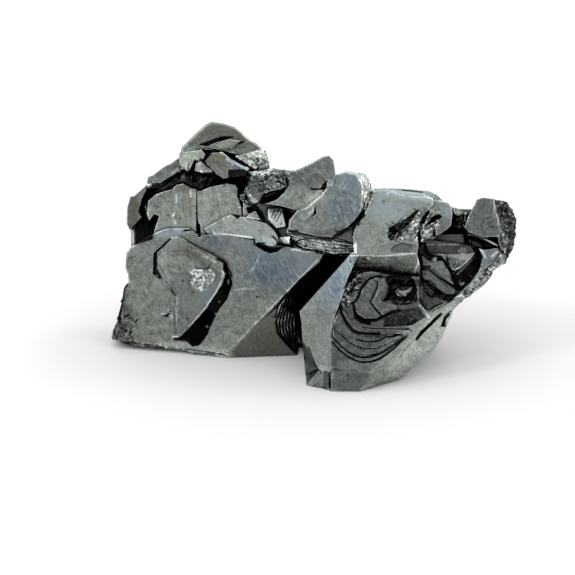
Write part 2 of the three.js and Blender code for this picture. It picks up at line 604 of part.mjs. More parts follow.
function topKnob() {
  const cap = plate({
    outline: [
      [-16.9, 29.7, -0.04], [-16.7, 30.5, -0.04], [-15, 32.2, -0.04], [-13.6, 33.4, -0.04],
      [-13, 33.7, -0.04], [-11.5, 33.5, -0.04], [-10, 33, -0.04], [-9.2, 32.4, -0.04],
      [-8.2, 31.4, -0.04], [-7.2, 30.9, -0.04], [-6.3, 30, -0.04], [-6, 28.8, 0], [-8.6, 29.2, 0],
      [-11.2, 29.9, 0], [-13.4, 30.2, 0],
    ],
    plane: KNOB,
    thick: 6,
    rim: 0.2,
  });
  const cheek = plate({
    outline: [
      [-17, 29.8], [-14.2, 30.2], [-13.6, 29.4], [-14.4, 28.8], [-15.2, 28.7], [-15.6, 28], [-15.9, 27.4],
      [-16.4, 27.9], [-17, 28.4],
    ],
    plane: { at: [-15.5, 29, heightOn(KNOB, -15.5, 29) - 0.15], dip: [0.45, 0.35] },
    thick: 4.5,
    run: 0,
  });
  const lens = plate({
    outline: [[-13.3, 30.5], [-12, 31.15], [-10.8, 31.5], [-9.4, 31.3], [-10.3, 30.5], [-12, 30.1]],
    plane: { at: [-11.5, 30.8, heightOn(KNOB, -11.5, 30.8) + 0.25], dip: [BASAL[0] + 0.2, 0.3] },
    thick: 1.5,
    run: 0.2,
  });
  const tooth = plate({
    outline: [
      [-15.1, 27.6], [-14.9, 28.5], [-14.3, 28.9], [-13.7, 28.35], [-12.9, 27.9], [-12.9, 27.4],
      [-14, 27.3],
    ],
    plane: { at: [-14, 28, heightOn(KNOB, -14, 28) - 1.1], dip: [0.1, 0.35] },
    thick: 3,
  });
  const belly = plate({
    outline: [
      [-13.85, 28.9], [-12.9, 29.9], [-11.5, 29.9], [-10.4, 29], [-8.2, 27.8], [-8.6, 26.9],
      [-10.2, 26.7], [-11.5, 26.6], [-12.3, 27.1], [-12.7, 27.6], [-13.5, 28.2],
    ],
    plane: { at: [-11.5, 28.5, heightOn(KNOB, -11.5, 28.5) - 0.3], dip: [0.3, 0.25] },
    thick: 3,
    rim: 0.1,
  });
  const fold = plate({
    outline: [[-13, 29.7], [-11.6, 29.9], [-10.4, 28.9], [-9.6, 28.2], [-11, 28.3], [-12.3, 28.8]],
    plane: { at: [-11.5, 29, heightOn(KNOB, -11.5, 29) - 0.05], dip: [0.15, 0.5] },
    thick: 2,
  });
  const bruise = gem([
    [-10.9, 27.6, -1.9], [-8.3, 27.7, -0.9], [-8, 27.1, -1.2], [-8.6, 25.6, -3.2], [-9.7, 26, -3.4],
    [-10.9, 26.3, -3.2], [-10.9, 28, -6], [-8, 28, -6], [-8.6, 25.6, -6],
  ]);
  const flank = plate({
    outline: [
      [-10.1, 29.3], [-9, 29.6], [-7.3, 30], [-6.2, 30.1], [-5.8, 28.8], [-5.7, 27.6], [-7.5, 27.1],
      [-7.7, 27.7], [-9.4, 28.7],
    ],
    plane: { at: [-7.8, 28.8, heightOn(KNOB, -7.8, 28.8) - 0.35], dip: [-0.25, 0.2] },
    thick: 5,
    run: 0,
  });
  const lift = (x, y, by) => [x, y, heightOn(KNOB, x, y) + by];
  const crust = rubble({
    patch: quadPatch(
      lift(-9, 28.9, -0.35), lift(-6.5, 27.5, -0.7), lift(-6.3, 29.6, -0.5), lift(-8.8, 29.3, -0.2),
    ),
    count: 8,
    size: 0.45,
    seed: 41,
  });
  const edge = rubble({
    patch: quadPatch(
      lift(-8.9, 31.6, -0.2), lift(-6.8, 29.9, -0.3), lift(-7, 30.3, -0.6), lift(-8.8, 31.8, -0.5),
    ),
    count: 4,
    size: 0.3,
    seed: 42,
  });
  const hollowBed = plate({
    outline: [[-16.3, 26.2], [-16, 29.5], [-7, 29.5], [-8.5, 25.6], [-14, 25.2]],
    plane: slabPlane(-4.4, [BASAL[0], BASAL[1] + 0.8], [-12, 26.5]),
    thick: 5,
  });
  const debris = rubble({
    patch: quadPatch([-15, 26.2, -7], [-12, 26.2, -6.5], [-12, 27.2, -6.2], [-15, 27.2, -6.8]),
    count: 4,
    size: 0.4,
    seed: 43,
  });
  const cuts = [
    hollow({
      outline: [
        [-14.5, 30.75], [-13.5, 31.2], [-12.3, 31.65], [-11.4, 31.85], [-10.2, 31.8],
        [-11.4, 31.4], [-12.3, 31.15], [-13.4, 30.6],
      ],
      plane: raised(KNOB, -1.3),
      deep: 3,
      run: 0,
    }),
    groove({ line: [[-13.4, 30.4], [-12, 30.1], [-10.6, 30.5]], plane: KNOB, width: 0.25, deep: 0.7 }),
    groove({ line: [
      [-12, 30.1], [-11, 30.4], [-10, 30.9], [-8.5, 31.3],
    ], plane: KNOB, width: 0.22, deep: 0.6 }),
    groove({ line: [
      [-11.3, 29.9], [-10, 29.3], [-9, 28.6], [-7.7, 27.6],
    ], plane: KNOB, width: 0.34, deep: 1.2 }),
    groove({ line: [[-13.9, 29.2], [-13.4, 29.8], [-12.9, 30.1]], plane: KNOB, width: 0.3, deep: 1 }),
  ];
  return {
    solid: join([cap, cheek, tooth, belly, fold, bruise, flank, crust, edge, hollowBed, debris]),
    cuts: join(cuts),
    lens,
  };
}

// ---------------------------------------------------------------- the upper middle plates

const LOBE = { at: [2, 23, 3.9], dip: [0.1, -0.1] };
const WING = { at: [-3, 24.5, 2.2], dip: [0.24, 0.02] };

function upperMiddle() {
  const lobe = plate({
    outline: [
      [1.8, 26.2, 0], [2.6, 27, 0], [3.7, 27.4, 0.1], [5.1, 27.1, 0.4], [5.9, 26, 0.5],
      [6, 24.2, 0.45], [5.7, 22.4, 0.25], [4.7, 20.9, 0.15], [3.7, 20.2, 0.1], [2.2, 19.2, 0.05],
      [0.2, 19.3, 0.05], [-1.5, 19.7, 0.05], [-3.3, 20.2, 0.05], [-3.2, 21.4, 0.05],
      [-2.2, 22.6, 0.05], [-1.2, 22.9, 0.05], [-0.3, 23.6, 0.05], [0.7, 24.5, 0.05],
      [1.3, 25.2, 0.05],
    ],
    plane: LOBE,
    thick: 2.5,
    rim: 0.14,
  });
  const wing = plate({
    outline: [
      [-4, 27.2], [-2.6, 27.5], [-0.6, 27], [1.1, 26.6], [2, 25.4], [1, 23], [-1.8, 22.4],
      [-4.2, 23.1], [-6.8, 23.5], [-4.4, 24.4], [-3.8, 25], [-3.3, 25.6], [-3.3, 26.4],
    ],
    plane: WING,
    thick: 5,
    run: 0,
    rim: RIM,
  });
  const ear = plate({
    outline: [
      [-2.7, 27.5], [-1, 28.2], [1, 29.3], [1.8, 29.4], [2.3, 28.9], [2.6, 27], [2.2, 25.6],
      [0.6, 25.3], [-0.8, 25.5], [-1.6, 26.5],
    ],
    plane: { at: [0, 27.2, heightOn(WING, 0, 27.2) + 0.3], dip: [0.2, -0.12] },
    thick: 5,
    run: -0.02,
    rim: RIM,
  });
  const lumpFace = plate({
    outline: [[-8.6, 26.2], [-8.3, 27], [-7, 26.6], [-6.2, 25], [-7, 23.7], [-7.7, 23.4], [-8.6, 24.8]],
    plane: { at: [-7.4, 25.2, 0.9], dip: [0.35, -0.05] },
    thick: 5,
    run: 0.05,
    rim: RIM,
  });
  const lumpCore = plate({
    outline: [
      [-8.4, 27.4], [-5.6, 27.8], [-3, 27.5], [-3.2, 26.2], [-3.9, 25.3], [-5.6, 25], [-6.2, 24.7],
      [-7, 26],
    ],
    plane: { at: [-5.5, 26.3, 1], dip: [0.15, -0.5] },
    thick: 5,
    run: 0,
  });
  const lumps = rubble({
    patch: quadPatch([-7, 25.3, 1.4], [-4, 25.6, 1.9], [-3.6, 27, 1.3], [-7.2, 27.2, 0.5]),
    count: 10,
    size: 0.6,
    seed: 51,
  });
  const cheekLumps = rubble({
    patch: quadPatch([-9, 23.8, -2.2], [-8.4, 23.6, -1.8], [-8.3, 25.6, -1.6], [-9, 25.4, -2.4]),
    count: 6,
    size: 0.35,
    seed: 52,
  });
  const recess = plate({
    outline: [[-9, 20], [-9, 24], [-4, 25.2], [-2, 23.5], [-2, 19], [-6, 19]],
    plane: { at: [-5.5, 22, -1.9], dip: BASAL },
    thick: 4,
  });
  const spark = gem([
    [-5.9, 22.8, 0.2], [-4.1, 22.9, 0.5], [-3.7, 20.6, 1.5], [-4.8, 20.4, 1.2], [-5.8, 21.5, 0.8],
    [-6.2, 22.9, -3], [-3.5, 22.9, -3], [-3.6, 20.4, -3], [-5, 20.2, -3],
  ]);
  const glint = gem([
    [-7.2, 23, -0.7], [-6.4, 21.4, -0.3], [-8.6, 21.7, -0.9], [-7.2, 23.2, -3], [-6.3, 21.2, -3],
    [-8.8, 21.5, -3],
  ]);
  const lowGlint = gem([
    [-3.9, 18.5, 0.3], [-3.1, 19.4, 0.6], [-3.2, 18.4, 0.8], [-4.4, 19.2, 0], [-3, 19.4, -2],
    [-4.6, 18.6, -2], [-3, 18.2, -2],
  ]);
  const cuts = [
    groove({ line: [[-0.25, 21.8], [0, 22.3], [0.05, 22.9]], plane: LOBE, width: 0.4, deep: 0.5 }),
    hollow({
      outline: [
        [-6.9, 23.4], [-6.1, 24.3], [-4.9, 24.9], [-3.8, 25.5], [-3.7, 24.9], [-4.8, 23.9],
        [-6, 23.45],
      ],
      plane: raised(WING, -2.4),
      deep: 5,
      run: 0,
    }),
    hollow({
      outline: [
        [-8.6, 22.9], [-7.6, 23.3], [-7, 23], [-6.2, 21.3], [-6.8, 21.4], [-7.4, 22.5],
        [-8.4, 22.2],
      ],
      plane: { at: [-7.5, 22.5, -3.4], dip: BASAL },
      deep: 3,
      run: 0,
    }),
    hollow({
      outline: [[-4.1, 22.5], [-3.3, 22.4], [-2.7, 22.2], [-3.6, 21.2]],
      plane: { at: [-3.4, 22, -2.6], dip: BASAL },
      deep: 4,
      run: 0,
    }),
    hollow({ outline: [
      [0.6, 25.3], [1.5, 26.3], [1.5, 25.6], [1.1, 25.05],
    ], plane: raised(WING, -0.6), deep: 3, run: 0 }),
  ];
  const root = plate({
    outline: [
      [-2.6, 20.8], [3, 20.4], [5.2, 22.4], [5.4, 25.6], [4.2, 26.8], [2.6, 26.4], [0.4, 23.4],
      [-2, 22],
    ],
    plane: raised(LOBE, -1.5),
    thick: 5,
  });
  return {
    solid: join([
      lobe, root, wing, ear, lumpFace, lumpCore, lumps, cheekLumps, recess, spark, glint, lowGlint,
    ]),
    cuts: join(cuts),
  };
}

// The layered ledge under the lobe: thin sheets, each reaching a little lower and lying a little deeper.
const SHEETS = 5;

function ledge() {
  const sheets = [];
  for (let k = 0; k < SHEETS; k += 1) {
    const low = 0.42 * k;
    sheets.push(plate({
      outline: [
        [-3.6 + 0.1 * k, 19.8 - 0.35 * low], [-1.5, 19.35 - 0.8 * low], [0.3 + 0.3 * k, 19 - low],
        [2.3, 18.85 - low], [4.2, 18.75 - 0.95 * low], [5.2, 18.5 - 0.7 * low], [6, 21], [-3, 21.5],
      ],
      plane: { at: [1, 19, 2.9 - 0.68 * k], dip: [0.12 - 0.02 * (k % 2), -0.15] },
      thick: 3,
      run: 0.05,
    }));
  }
  const crumbs = rubble({
    patch: quadPatch([-2.6, 18, 0], [4.4, 17.5, 0.9], [4.8, 18.6, 2.4], [-2.4, 19.2, 1.6]),
    count: 7,
    size: 0.38,
    seed: 61,
  });
  const corner = gem([
    [4.6, 20, 3], [3.2, 19.5, 2.4], [2.6, 19.1, 2.2], [4.9, 18.7, 3], [5, 20, 0], [2.6, 19.2, 0],
    [4.9, 18.6, 0],
  ]);
  return join([...sheets, crumbs, corner]);
}

// ---------------------------------------------------------------- the upper right plates

const SHOULDER = { at: [9, 21.5, 3.6], dip: [0.05, -0.45] };
const NECK = { at: [15.5, 22, 3.1], dip: [-0.12, -0.25] };

function upperRight() {
  const backSheet = plate({
    outline: [
      [7.3, 25.25], [8.5, 25.35], [11, 25.3], [14.3, 25], [15.3, 24.5], [15.9, 23.95], [15, 22],
      [8, 22],
    ],
    plane: raised(SHOULDER, -0.75),
    thick: 4,
    run: 0,
  });
  const shoulder = plate({
    outline: [
      [7.3, 25.1], [9, 25.25], [11.2, 25], [13.5, 24.7], [14.8, 24], [14.4, 23.1], [13.9, 22.2],
      [13.2, 21.2], [13, 19], [12.8, 17], [5, 16.9], [4.6, 19.4], [4.8, 20.4], [5.8, 21.8],
      [6.4, 23], [6.9, 24.2],
    ],
    plane: SHOULDER,
    thick: 7,
    run: 0,
    rim: 0.2,
  });
  const neck = plate({
    outline: [
      [14.4, 23.8], [15, 23.9], [16, 23.7], [16.7, 23.5], [17.1, 23], [17.2, 22.3], [17, 20.7],
      [16.4, 20.1], [15.2, 19.3], [14.6, 18.6], [12.6, 18.6], [13, 21],
    ],
    plane: NECK,
    thick: 7,
    run: 0,
    rim: RIM,
  });
  const chips = [
    gem([
      [11, 20.2, 4.2], [12.6, 20.9, 3.9], [12.8, 20.5, 4.1], [11.2, 19.5, 4.6], [11, 20.2, 1],
      [12.9, 21, 1], [11.2, 19.4, 1],
    ]),
    gem([
      [10.6, 19.2, 4.8], [12.4, 20, 4.3], [13, 19.6, 4.3], [12.2, 18.5, 4.9], [10.9, 18.4, 5],
      [10.6, 19.2, 1], [13, 19.8, 1], [12.4, 18.4, 1],
    ]),
    gem([
      [13.3, 20.4, 3.5], [14.3, 20.4, 3.4], [14.5, 19.6, 3.6], [13.9, 19, 3.9], [13.2, 19.4, 4],
      [13.3, 20.5, 1], [14.6, 19.4, 1], [13.1, 19, 1],
    ]),
    gem([
      [17.2, 23, 2.4], [17.9, 22.8, 2], [18.7, 22.2, 1.6], [17.8, 21.9, 2.2], [17.4, 22.2, 2.4],
      [17.2, 23, -2], [18.8, 22, -2], [17.4, 21, -2],
    ]),
  ];
  const gapBed = plate({
    outline: [[15.5, 18.5], [15.8, 22.6], [18.8, 22], [19, 20], [19.5, 18.5]],
    plane: { at: [17.5, 20.5, -1], dip: [1.2, 0.2] },
    thick: 4,
  });
  const grit = rubble({
    patch: quadPatch([17.4, 20.3, -1.1], [18.4, 20.3, 0.1], [18.4, 21.8, 0.4], [17.4, 21.8, -0.8]),
    count: 5,
    size: 0.3,
    seed: 71,
  });
  const cuts = [
    hollow({
      outline: [
        [9.4, 18.95], [9.2, 20.2], [10.5, 20.9], [12.2, 22.1], [12.8, 22.4], [12.1, 21.2],
        [10.7, 20], [10.2, 18.9],
      ],
      plane: raised(SHOULDER, -1.8),
      deep: 3,
      run: 0.04,
    }),
    hollow({
      outline: [[13, 21], [13.8, 22.1], [14.3, 22.5], [13.6, 20.9]],
      plane: raised(SHOULDER, -1.8),
      deep: 3,
      run: 0.04,
    }),
    hollow({
      outline: [[13.8, 20.6], [14.7, 21.7], [15.4, 22.05], [15.8, 21.8], [14.9, 21.1]],
      plane: raised(NECK, -1.5),
      deep: 3,
      run: 0.04,
    }),
    groove({ line: [[13.2, 18.8], [12.9, 19.6], [13.2, 20.4]], plane: SHOULDER, width: 0.4, deep: 1.2 }),
    groove({ line: [[14.9, 20.4], [14.9, 19.8], [15.1, 19.2]], plane: NECK, width: 0.3, deep: 1 }),
  ];
  return { solid: join([backSheet, shoulder, neck, gapBed, grit]), cuts: join(cuts), chips: join(chips) };
}

// ---------------------------------------------------------------- the right end

const HEAD = { at: [21, 21.5, 2.2], dip: [0.06, -0.06] };
const JAW = { at: [21.8, 16.8, 1.9], dip: [-0.15, 0.12] };
const BEAK = { at: [17, 16.4, 3.4], dip: [-0.1, 0.05] };
const FIELD = { at: [15, 14, 2.4], dip: [-0.12, -0.1] };

function rightEnd() {
  const head = plate({
    outline: [
      [18.7, 20.5], [19.1, 21.7], [19.8, 23.2], [20.2, 23.9], [21, 24.2], [22.4, 24], [22.5, 22.3],
      [22.9, 21.7], [23.2, 20], [23, 19.3], [21, 19.2], [19.1, 19.8],
    ],
    plane: HEAD,
    thick: 8,
    run: -0.02,
    rim: RIM,
  });
  const underlip = gem([
    [19, 19.6, 2], [20.5, 19.15, 2.1], [22.9, 18.1, 2.3], [22.7, 18.4, 2.2], [20.6, 19.5, 1.9],
    [19, 19.8, 0], [22.9, 18.2, 0], [21, 18.8, 0],
  ]);
  const brokenSide = plate({
    outline: [
      [22.2, 24], [24, 23.6], [24.6, 22.7], [25.2, 21.3], [25.2, 20.5], [25, 18.9], [24.9, 18.2],
      [24.2, 17], [23.2, 17.8], [22.8, 19],
    ],
    plane: { at: [23.8, 21, 1.7], dip: [-0.5, -0.1] },
    thick: 8,
    run: -0.04,
  });
  const sideLumps = rubble({
    patch: quadPatch([23, 18.8, 1.9], [24.6, 19, 1.2], [24.2, 23, 1.2], [22.8, 23.2, 1.9]),
    count: 8,
    size: 0.55,
    seed: 81,
  });
  const jaw = plate({
    outline: [
      [20.5, 17.8], [21.2, 17.6], [22.9, 17.9], [23.3, 17.2], [22.7, 16.4], [21.8, 15.7],
      [21.2, 15.3], [20.7, 15.8], [21, 16.8],
    ],
    plane: JAW,
    thick: 5,
    run: 0.08,
  });
  const rim = plate({
    outline: [
      [16.4, 9.6], [16.9, 11.2], [18.2, 12.35], [19.5, 13.6], [20.5, 15], [20.8, 15.9], [22.5, 16.6],
      [23.4, 17.4], [24.3, 17], [23.8, 16], [22.3, 15.1], [21.9, 14.1], [21, 13.1], [19.6, 12.1],
      [18.6, 11.5], [17.2, 10], [17, 9.3],
    ],
    plane: { at: [19.5, 13, 1.2], dip: [-0.3, 0.3] },
    thick: 6,
    run: -0.05,
  });
  const rimLumps = rubble({
    patch: quadPatch([17.6, 10.9, 1.5], [21.6, 13.8, 0.8], [22.9, 16.5, 1.2], [17, 10.6, 1.6]),
    count: 6,
    size: 0.36,
    seed: 82,
  });
  const beakTop = gem([
    [13.7, 18.9, 4.9], [18, 18.4, 4.6], [19.4, 18, 4.2], [20, 17.2, 3.2], [14.2, 17.15, 3.5],
    [18, 17.1, 3.35], [19, 16.1, 3], [13.6, 19.2, 0], [20, 18.2, 0], [20.2, 17.2, 0], [19, 16, 0],
    [14, 17, 0],
  ]);
  const beak = plate({
    outline: [
      [14.2, 17.3], [18.2, 17.3], [19.4, 16.5], [18.2, 15.4], [17.4, 15], [16.6, 15.5], [16.3, 16.2],
      [15.8, 16.9],
    ],
    plane: BEAK,
    thick: 5,
    run: 0.03,
    rim: RIM,
  });
  const beakTeeth = rungs({
    from: [16.9, 15.3], to: [17.9, 15.7], count: 3, length: 0.8, tilt: 1.1, lift: 0.18, plane: BEAK,
  });
  const trenchBed = plate({
    outline: [[13, 8.6], [16.5, 9.8], [18.4, 12.2], [20.8, 15.2], [21, 18], [20, 19.6], [13, 19.6]],
    plane: { at: [17, 14, 0.2], dip: [-0.1, 0] },
    thick: 5,
  });
  const greyFace = plate({
    outline: [[13.3, 17], [14.5, 16.1], [15.9, 16.3], [17, 14.6], [17.3, 13.3], [14.2, 15], [13.3, 15.4]],
    plane: { at: [15.5, 15.2, 2.6], dip: [0.1, 0.05] },
    thick: 4,
    run: 0.03,
  });
  const lightStrip = plate({
    outline: [[13.3, 15.1], [14.1, 15.15], [17.6, 12.6], [17.3, 12.1], [16.2, 12.2], [13.4, 14.2]],
    plane: { at: [15.4, 13.6, 2.9], dip: [-0.35, -0.45] },
    thick: 4,
    run: 0.03,
  });
  const greyTriangle = plate({
    outline: [[13.2, 12], [15.9, 11.3], [16.8, 10.9], [14.2, 10], [13.6, 10.6]],
    plane: { at: [14.5, 11.1, 3], dip: [0, 0.1] },
    thick: 4,
    run: 0.03,
  });
  const ladder = rungs({
    from: [13.5, 13.8],
    to: [15.6, 11.9],
    count: 7,
    length: 1.1,
    tilt: 0.75,
    lift: 0.9,
    plane: raised(FIELD, -0.7),
  });
  const ladderBed = plate({
    outline: [[13, 14.2], [16.4, 12.2], [15.8, 11.3], [13.2, 11.9]],
    plane: raised(FIELD, -0.6),
    thick: 3,
  });
  const bars = rungs({
    from: [14.2, 10.3],
    to: [15.2, 9.4],
    count: 3,
    length: 1.6,
    tilt: 0.5,
    lift: 0.4,
    plane: raised(FIELD, 0.2),
  });
  const grit = rubble({
    patch: quadPatch([13.6, 16.1, 2.4], [14.8, 16.2, 2.6], [15.6, 16.9, 2.9], [13.6, 17, 2.8]),
    count: 4,
    size: 0.3,
    seed: 83,
  });
  return join([
    head, underlip, brokenSide, sideLumps, jaw, rim, rimLumps, beakTop, beak, beakTeeth, trenchBed,
    greyFace, lightStrip, greyTriangle, ladder, ladderBed, bars, grit,
  ]);
}

// ---------------------------------------------------------------- the back

// The mass behind the plates, in two steps.
function heart() {
  const left = plate({
    outline: [
      [-23, 8], [-22.8, 16.8], [-21.8, 18.5], [-21.4, 23.2], [-19.6, 25.9], [-16, 28.2], [-14, 31.4],
      [-10.5, 31], [-7, 28.6], [-4.5, 26.6], [1, 27.6], [4, 26], [7, 24.4], [7, 2.4], [0, 2.4],
      [-10, 4], [-22, 5],
    ],
    plane: { at: [-11, 12, -8.6], dip: [0.1, 0.02] },
    thick: 4,
    run: -0.12,
  });
  const right = plate({
    outline: [
      [1, 19], [1, 27], [4, 26], [8, 24], [14, 23.4], [16.5, 21.8], [20, 22], [23.2, 22], [23.6, 19],
      [21.5, 16], [17.8, 12.2], [15, 8.6], [12, 5], [4.5, 5], [5.5, 17],
    ],
    plane: { at: [10, 14, -3.4], dip: [0.1, -0.05] },
    thick: 6,
    run: -0.08,
  });
  return join([left, right]);
}

// A hexagonal tabular crystal that faces backwards.
function backCrystal({ at, size, turn, tip, stretch = 1 }) {
  const outline = [];
  for (let k = 0; k < 6; k += 1) {
    const angle = (Math.PI / 3) * k;
    const reach = size * (k % 3 === 0 ? 1.1 : 0.94);
    outline.push([reach * Math.cos(angle) * stretch, reach * Math.sin(angle), k % 2 ? RHOMB : 0.2]);
  }
  return plate({ outline, plane: { at: [0, 0, 0], dip: [0, 0] }, thick: 5 })
    .rotate([tip[0], 180 + tip[1], turn])
    .translate(at);
}

function back() {
  const crystals = [
    { at: [-16.5, 14, -14], size: 5, turn: 12, tip: [6, 4], stretch: 1.1 },
    { at: [-8.5, 16.5, -14.6], size: 5.6, turn: 47, tip: [-7, 3] },
    { at: [-15, 21.5, -13], size: 4, turn: 30, tip: [9, -8] },
    { at: [-11, 26.5, -11.4], size: 3.2, turn: 5, tip: [14, 0] },
    { at: [0.5, 20.5, -12.3], size: 4.8, turn: 22, tip: [8, 6] },
    { at: [1, 12.5, -13], size: 5.4, turn: 55, tip: [-6, -6], stretch: 1.1 },
    { at: [9.5, 17, -9.8], size: 5, turn: 38, tip: [5, 10] },
    { at: [8.5, 11, -9.4], size: 4, turn: 10, tip: [-10, 8] },
    { at: [17, 17.5, -7.2], size: 3.8, turn: 50, tip: [4, 14] },
  ];
  const lumps = rubble({
    patch: quadPatch([-18, 10, -12.5], [9, 11, -9.5], [16, 19, -7.5], [-17, 21, -12.5]),
    count: 5,
    size: 1.4,
    seed: 91,
  });
  return join([...crystals.map(backCrystal), lumps]);
}

// ---------------------------------------------------------------- assembly

// Pockets closed in between the crystals are filled.
const outerSkin = (solid) => solid.decompose().reduce((a, b) => (b.volume() > a.volume() ? b : a));

// What stands below the resting plane is cut away, and the group is centred over its origin.
function group() {
  const crest = slabPlate();
  const terrace = terraces();
  const hillock = mound();
  const left = upperLeft();
  const knob = topKnob();
  const middle = upperMiddle();
  const right = upperRight();
  const slabSide = join([leftSlab(), foot()])
    .subtract(crest.cuts).add(crest.solid)
    .add(left.solid).subtract(left.cuts);
  const topSide = knob.solid.subtract(knob.cuts).add(knob.lens)
    .add(middle.solid).subtract(middle.cuts);
  const shoulderSide = right.solid.subtract(right.cuts).add(right.chips);
  const crystal = mainCrystal()
    .add(terrace.solid).subtract(terrace.cuts)
    .add(hillock.solid).subtract(hillock.pit);
  const solid = join([
    slabSide, topSide, ledge(), shoulderSide, crystal, moundDetail(), rightEnd(), heart(), back(),
  ]);
  const leaned = solid.rotate([90 - LEAN, 0, 0]).translate([-CENTRE[0], -CENTRE[1], -REST_OFFSET]);
  const ground = new THREE.BoxGeometry(200, 200, 100);
  ground.translate(0, 0, -50);
  return outerSkin(leaned.subtract(solidOf(ground)).simplify(FINEST));
}

function meshOf(solid, name, material) {
  const { vertProperties, triVerts } = solid.getMesh();
  const geometry = new THREE.BufferGeometry();
  geometry.setAttribute('position', new THREE.BufferAttribute(vertProperties, 3));
  geometry.setIndex(new THREE.BufferAttribute(triVerts, 1));
  geometry.computeVertexNormals();
  const mesh = new THREE.Mesh(geometry, material);
  mesh.name = name;
  return mesh;
}

const hematite = new THREE.MeshStandardMaterial({ color: 0x7d827c, roughness: 0.18, metalness: 1 });
const specimen = new THREE.Group();
specimen.add(meshOf(group(), 'hematite_crystals', hematite));

export default specimen;
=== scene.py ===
# A hematite specimen on a pale table: a group of dark, metallic crystals that grew together.
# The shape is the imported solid's, and this file gives it its fine surface, finish and setting.
import bmesh, bpy, math
import numpy as np
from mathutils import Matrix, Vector, noise


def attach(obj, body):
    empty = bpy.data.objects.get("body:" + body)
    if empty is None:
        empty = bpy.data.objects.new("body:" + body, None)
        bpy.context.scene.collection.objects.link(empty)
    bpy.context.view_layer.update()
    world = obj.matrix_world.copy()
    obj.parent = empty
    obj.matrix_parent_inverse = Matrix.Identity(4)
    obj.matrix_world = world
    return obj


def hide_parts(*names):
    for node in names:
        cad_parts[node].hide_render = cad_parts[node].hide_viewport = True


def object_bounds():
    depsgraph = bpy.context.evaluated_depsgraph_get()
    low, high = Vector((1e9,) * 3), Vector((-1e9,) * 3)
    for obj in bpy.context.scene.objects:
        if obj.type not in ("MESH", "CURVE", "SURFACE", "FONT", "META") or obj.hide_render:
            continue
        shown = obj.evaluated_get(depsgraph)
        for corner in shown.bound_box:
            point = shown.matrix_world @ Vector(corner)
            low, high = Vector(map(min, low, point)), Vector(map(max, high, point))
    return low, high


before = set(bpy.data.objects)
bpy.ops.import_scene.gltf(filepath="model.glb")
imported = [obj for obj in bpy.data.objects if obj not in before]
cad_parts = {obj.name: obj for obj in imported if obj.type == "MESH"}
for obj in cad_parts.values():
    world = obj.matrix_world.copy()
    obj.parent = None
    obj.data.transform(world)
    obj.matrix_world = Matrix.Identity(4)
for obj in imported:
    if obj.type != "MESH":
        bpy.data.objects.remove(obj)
cad_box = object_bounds()

# ---------------------------------------------------------------- how the specimen stands
# The group leans back onto its broken lower edge. Its plates are described in the growth frame:
# x to the right, y up along the plates, z out of their faces, all in millimetres.
LEAN = math.radians(68)                    # from the growth frame to the standing specimen
MIDDLE = np.array([-0.24, 8.81, 2.19])     # mm from the growth frame's origin to the specimen's


def stand(x, y, z):
    up = y * math.sin(LEAN) + z * math.cos(LEAN)
    back = y * math.cos(LEAN) - z * math.sin(LEAN)
    return (Vector((x, back, up)) - Vector(MIDDLE)) / 1000


def lie(points):
    p = points * 1000 + MIDDLE
    y = p[:, 1] * math.cos(LEAN) + p[:, 2] * math.sin(LEAN)
    z = p[:, 2] * math.cos(LEAN) - p[:, 1] * math.sin(LEAN)
    return np.stack([p[:, 0], y, z], 1)


# ---------------------------------------------------------------- camera
# A long lens that looks straight at the plates' common front, a little down onto the table.
SIGHT = 1.5                                # m from the lens to the plates' common front
FRONT_OUT = 2                              # mm that this front stands out in the growth frame
VIEW_MIDDLE = (-3.44, 12.94)               # mm, what the lens points at, in the growth frame
VIEW_WIDTH = 71.875                        # mm of the specimen's front that fill the view
FILM_WIDTH = 36                            # mm
lens = bpy.data.cameras.new("view")
lens.lens = FILM_WIDTH * SIGHT * 1000 / VIEW_WIDTH
lens.clip_start, lens.clip_end = 0.1, 20
eye = bpy.data.objects.new("view", lens)
bpy.context.collection.objects.link(eye)
eye.location = stand(*VIEW_MIDDLE, FRONT_OUT + SIGHT * 1000)
eye.rotation_euler = (LEAN, 0, 0)
bpy.context.scene.camera = eye
bpy.context.scene.view_settings.view_transform = "Standard"

# ---------------------------------------------------------------- table
# A plain matt white table top, large enough to fill every view.
TABLE_REACH = 6                            # m from its middle to each side
CARD_WHITE = (0.9, 0.895, 0.88, 1)
top = bmesh.new()
bmesh.ops.create_grid(top, x_segments=1, y_segments=1, size=TABLE_REACH)
table_mesh = bpy.data.meshes.new("table")
top.to_mesh(table_mesh)
top.free()
table = bpy.data.objects.new("table", table_mesh)
bpy.context.collection.objects.link(table)
card = bpy.data.materials.new("white_card")
card.use_nodes = True
paint = card.node_tree.nodes["Principled BSDF"]
paint.inputs["Base Color"].default_value = CARD_WHITE
paint.inputs["Roughness"].default_value = 0.9
paint.inputs["Specular IOR Level"].default_value = 0.1
table_mesh.materials.append(card)

# ---------------------------------------------------------------- light
# A bright tent all round the table, dimmer where the observer stands in front of it,
# and two soft lamps above it that give the broken crystals their glints.
OBSERVER = (0.12, -0.927, 0.375)           # the direction in which the tent is dimmest
FULL, DIM = 1.22, 0.45                     # the tent's strength away from there, and there
DIM_FROM, DIM_TO = 0.4, 0.97               # cosines of the angles between which it dims
TENT_WHITE = (0.985, 1, 1.0, 1)
AIM = (0, 0, 0.015)                        # m, where the lamps point
tent = bpy.data.worlds.new("tent")
bpy.context.scene.world = tent
tent.use_nodes = True
sky = tent.node_tree
toward = sky.nodes.new("ShaderNodeTexCoord")
facing = sky.nodes.new("ShaderNodeVectorMath")
facing.operation = "DOT_PRODUCT"
facing.inputs[1].default_value = OBSERVER
sky.links.new(toward.outputs["Generated"], facing.inputs[0])
dimming = sky.nodes.new("ShaderNodeMapRange")
dimming.interpolation_type = "SMOOTHSTEP"
dimming.inputs["From Min"].default_value = DIM_FROM
dimming.inputs["From Max"].default_value = DIM_TO
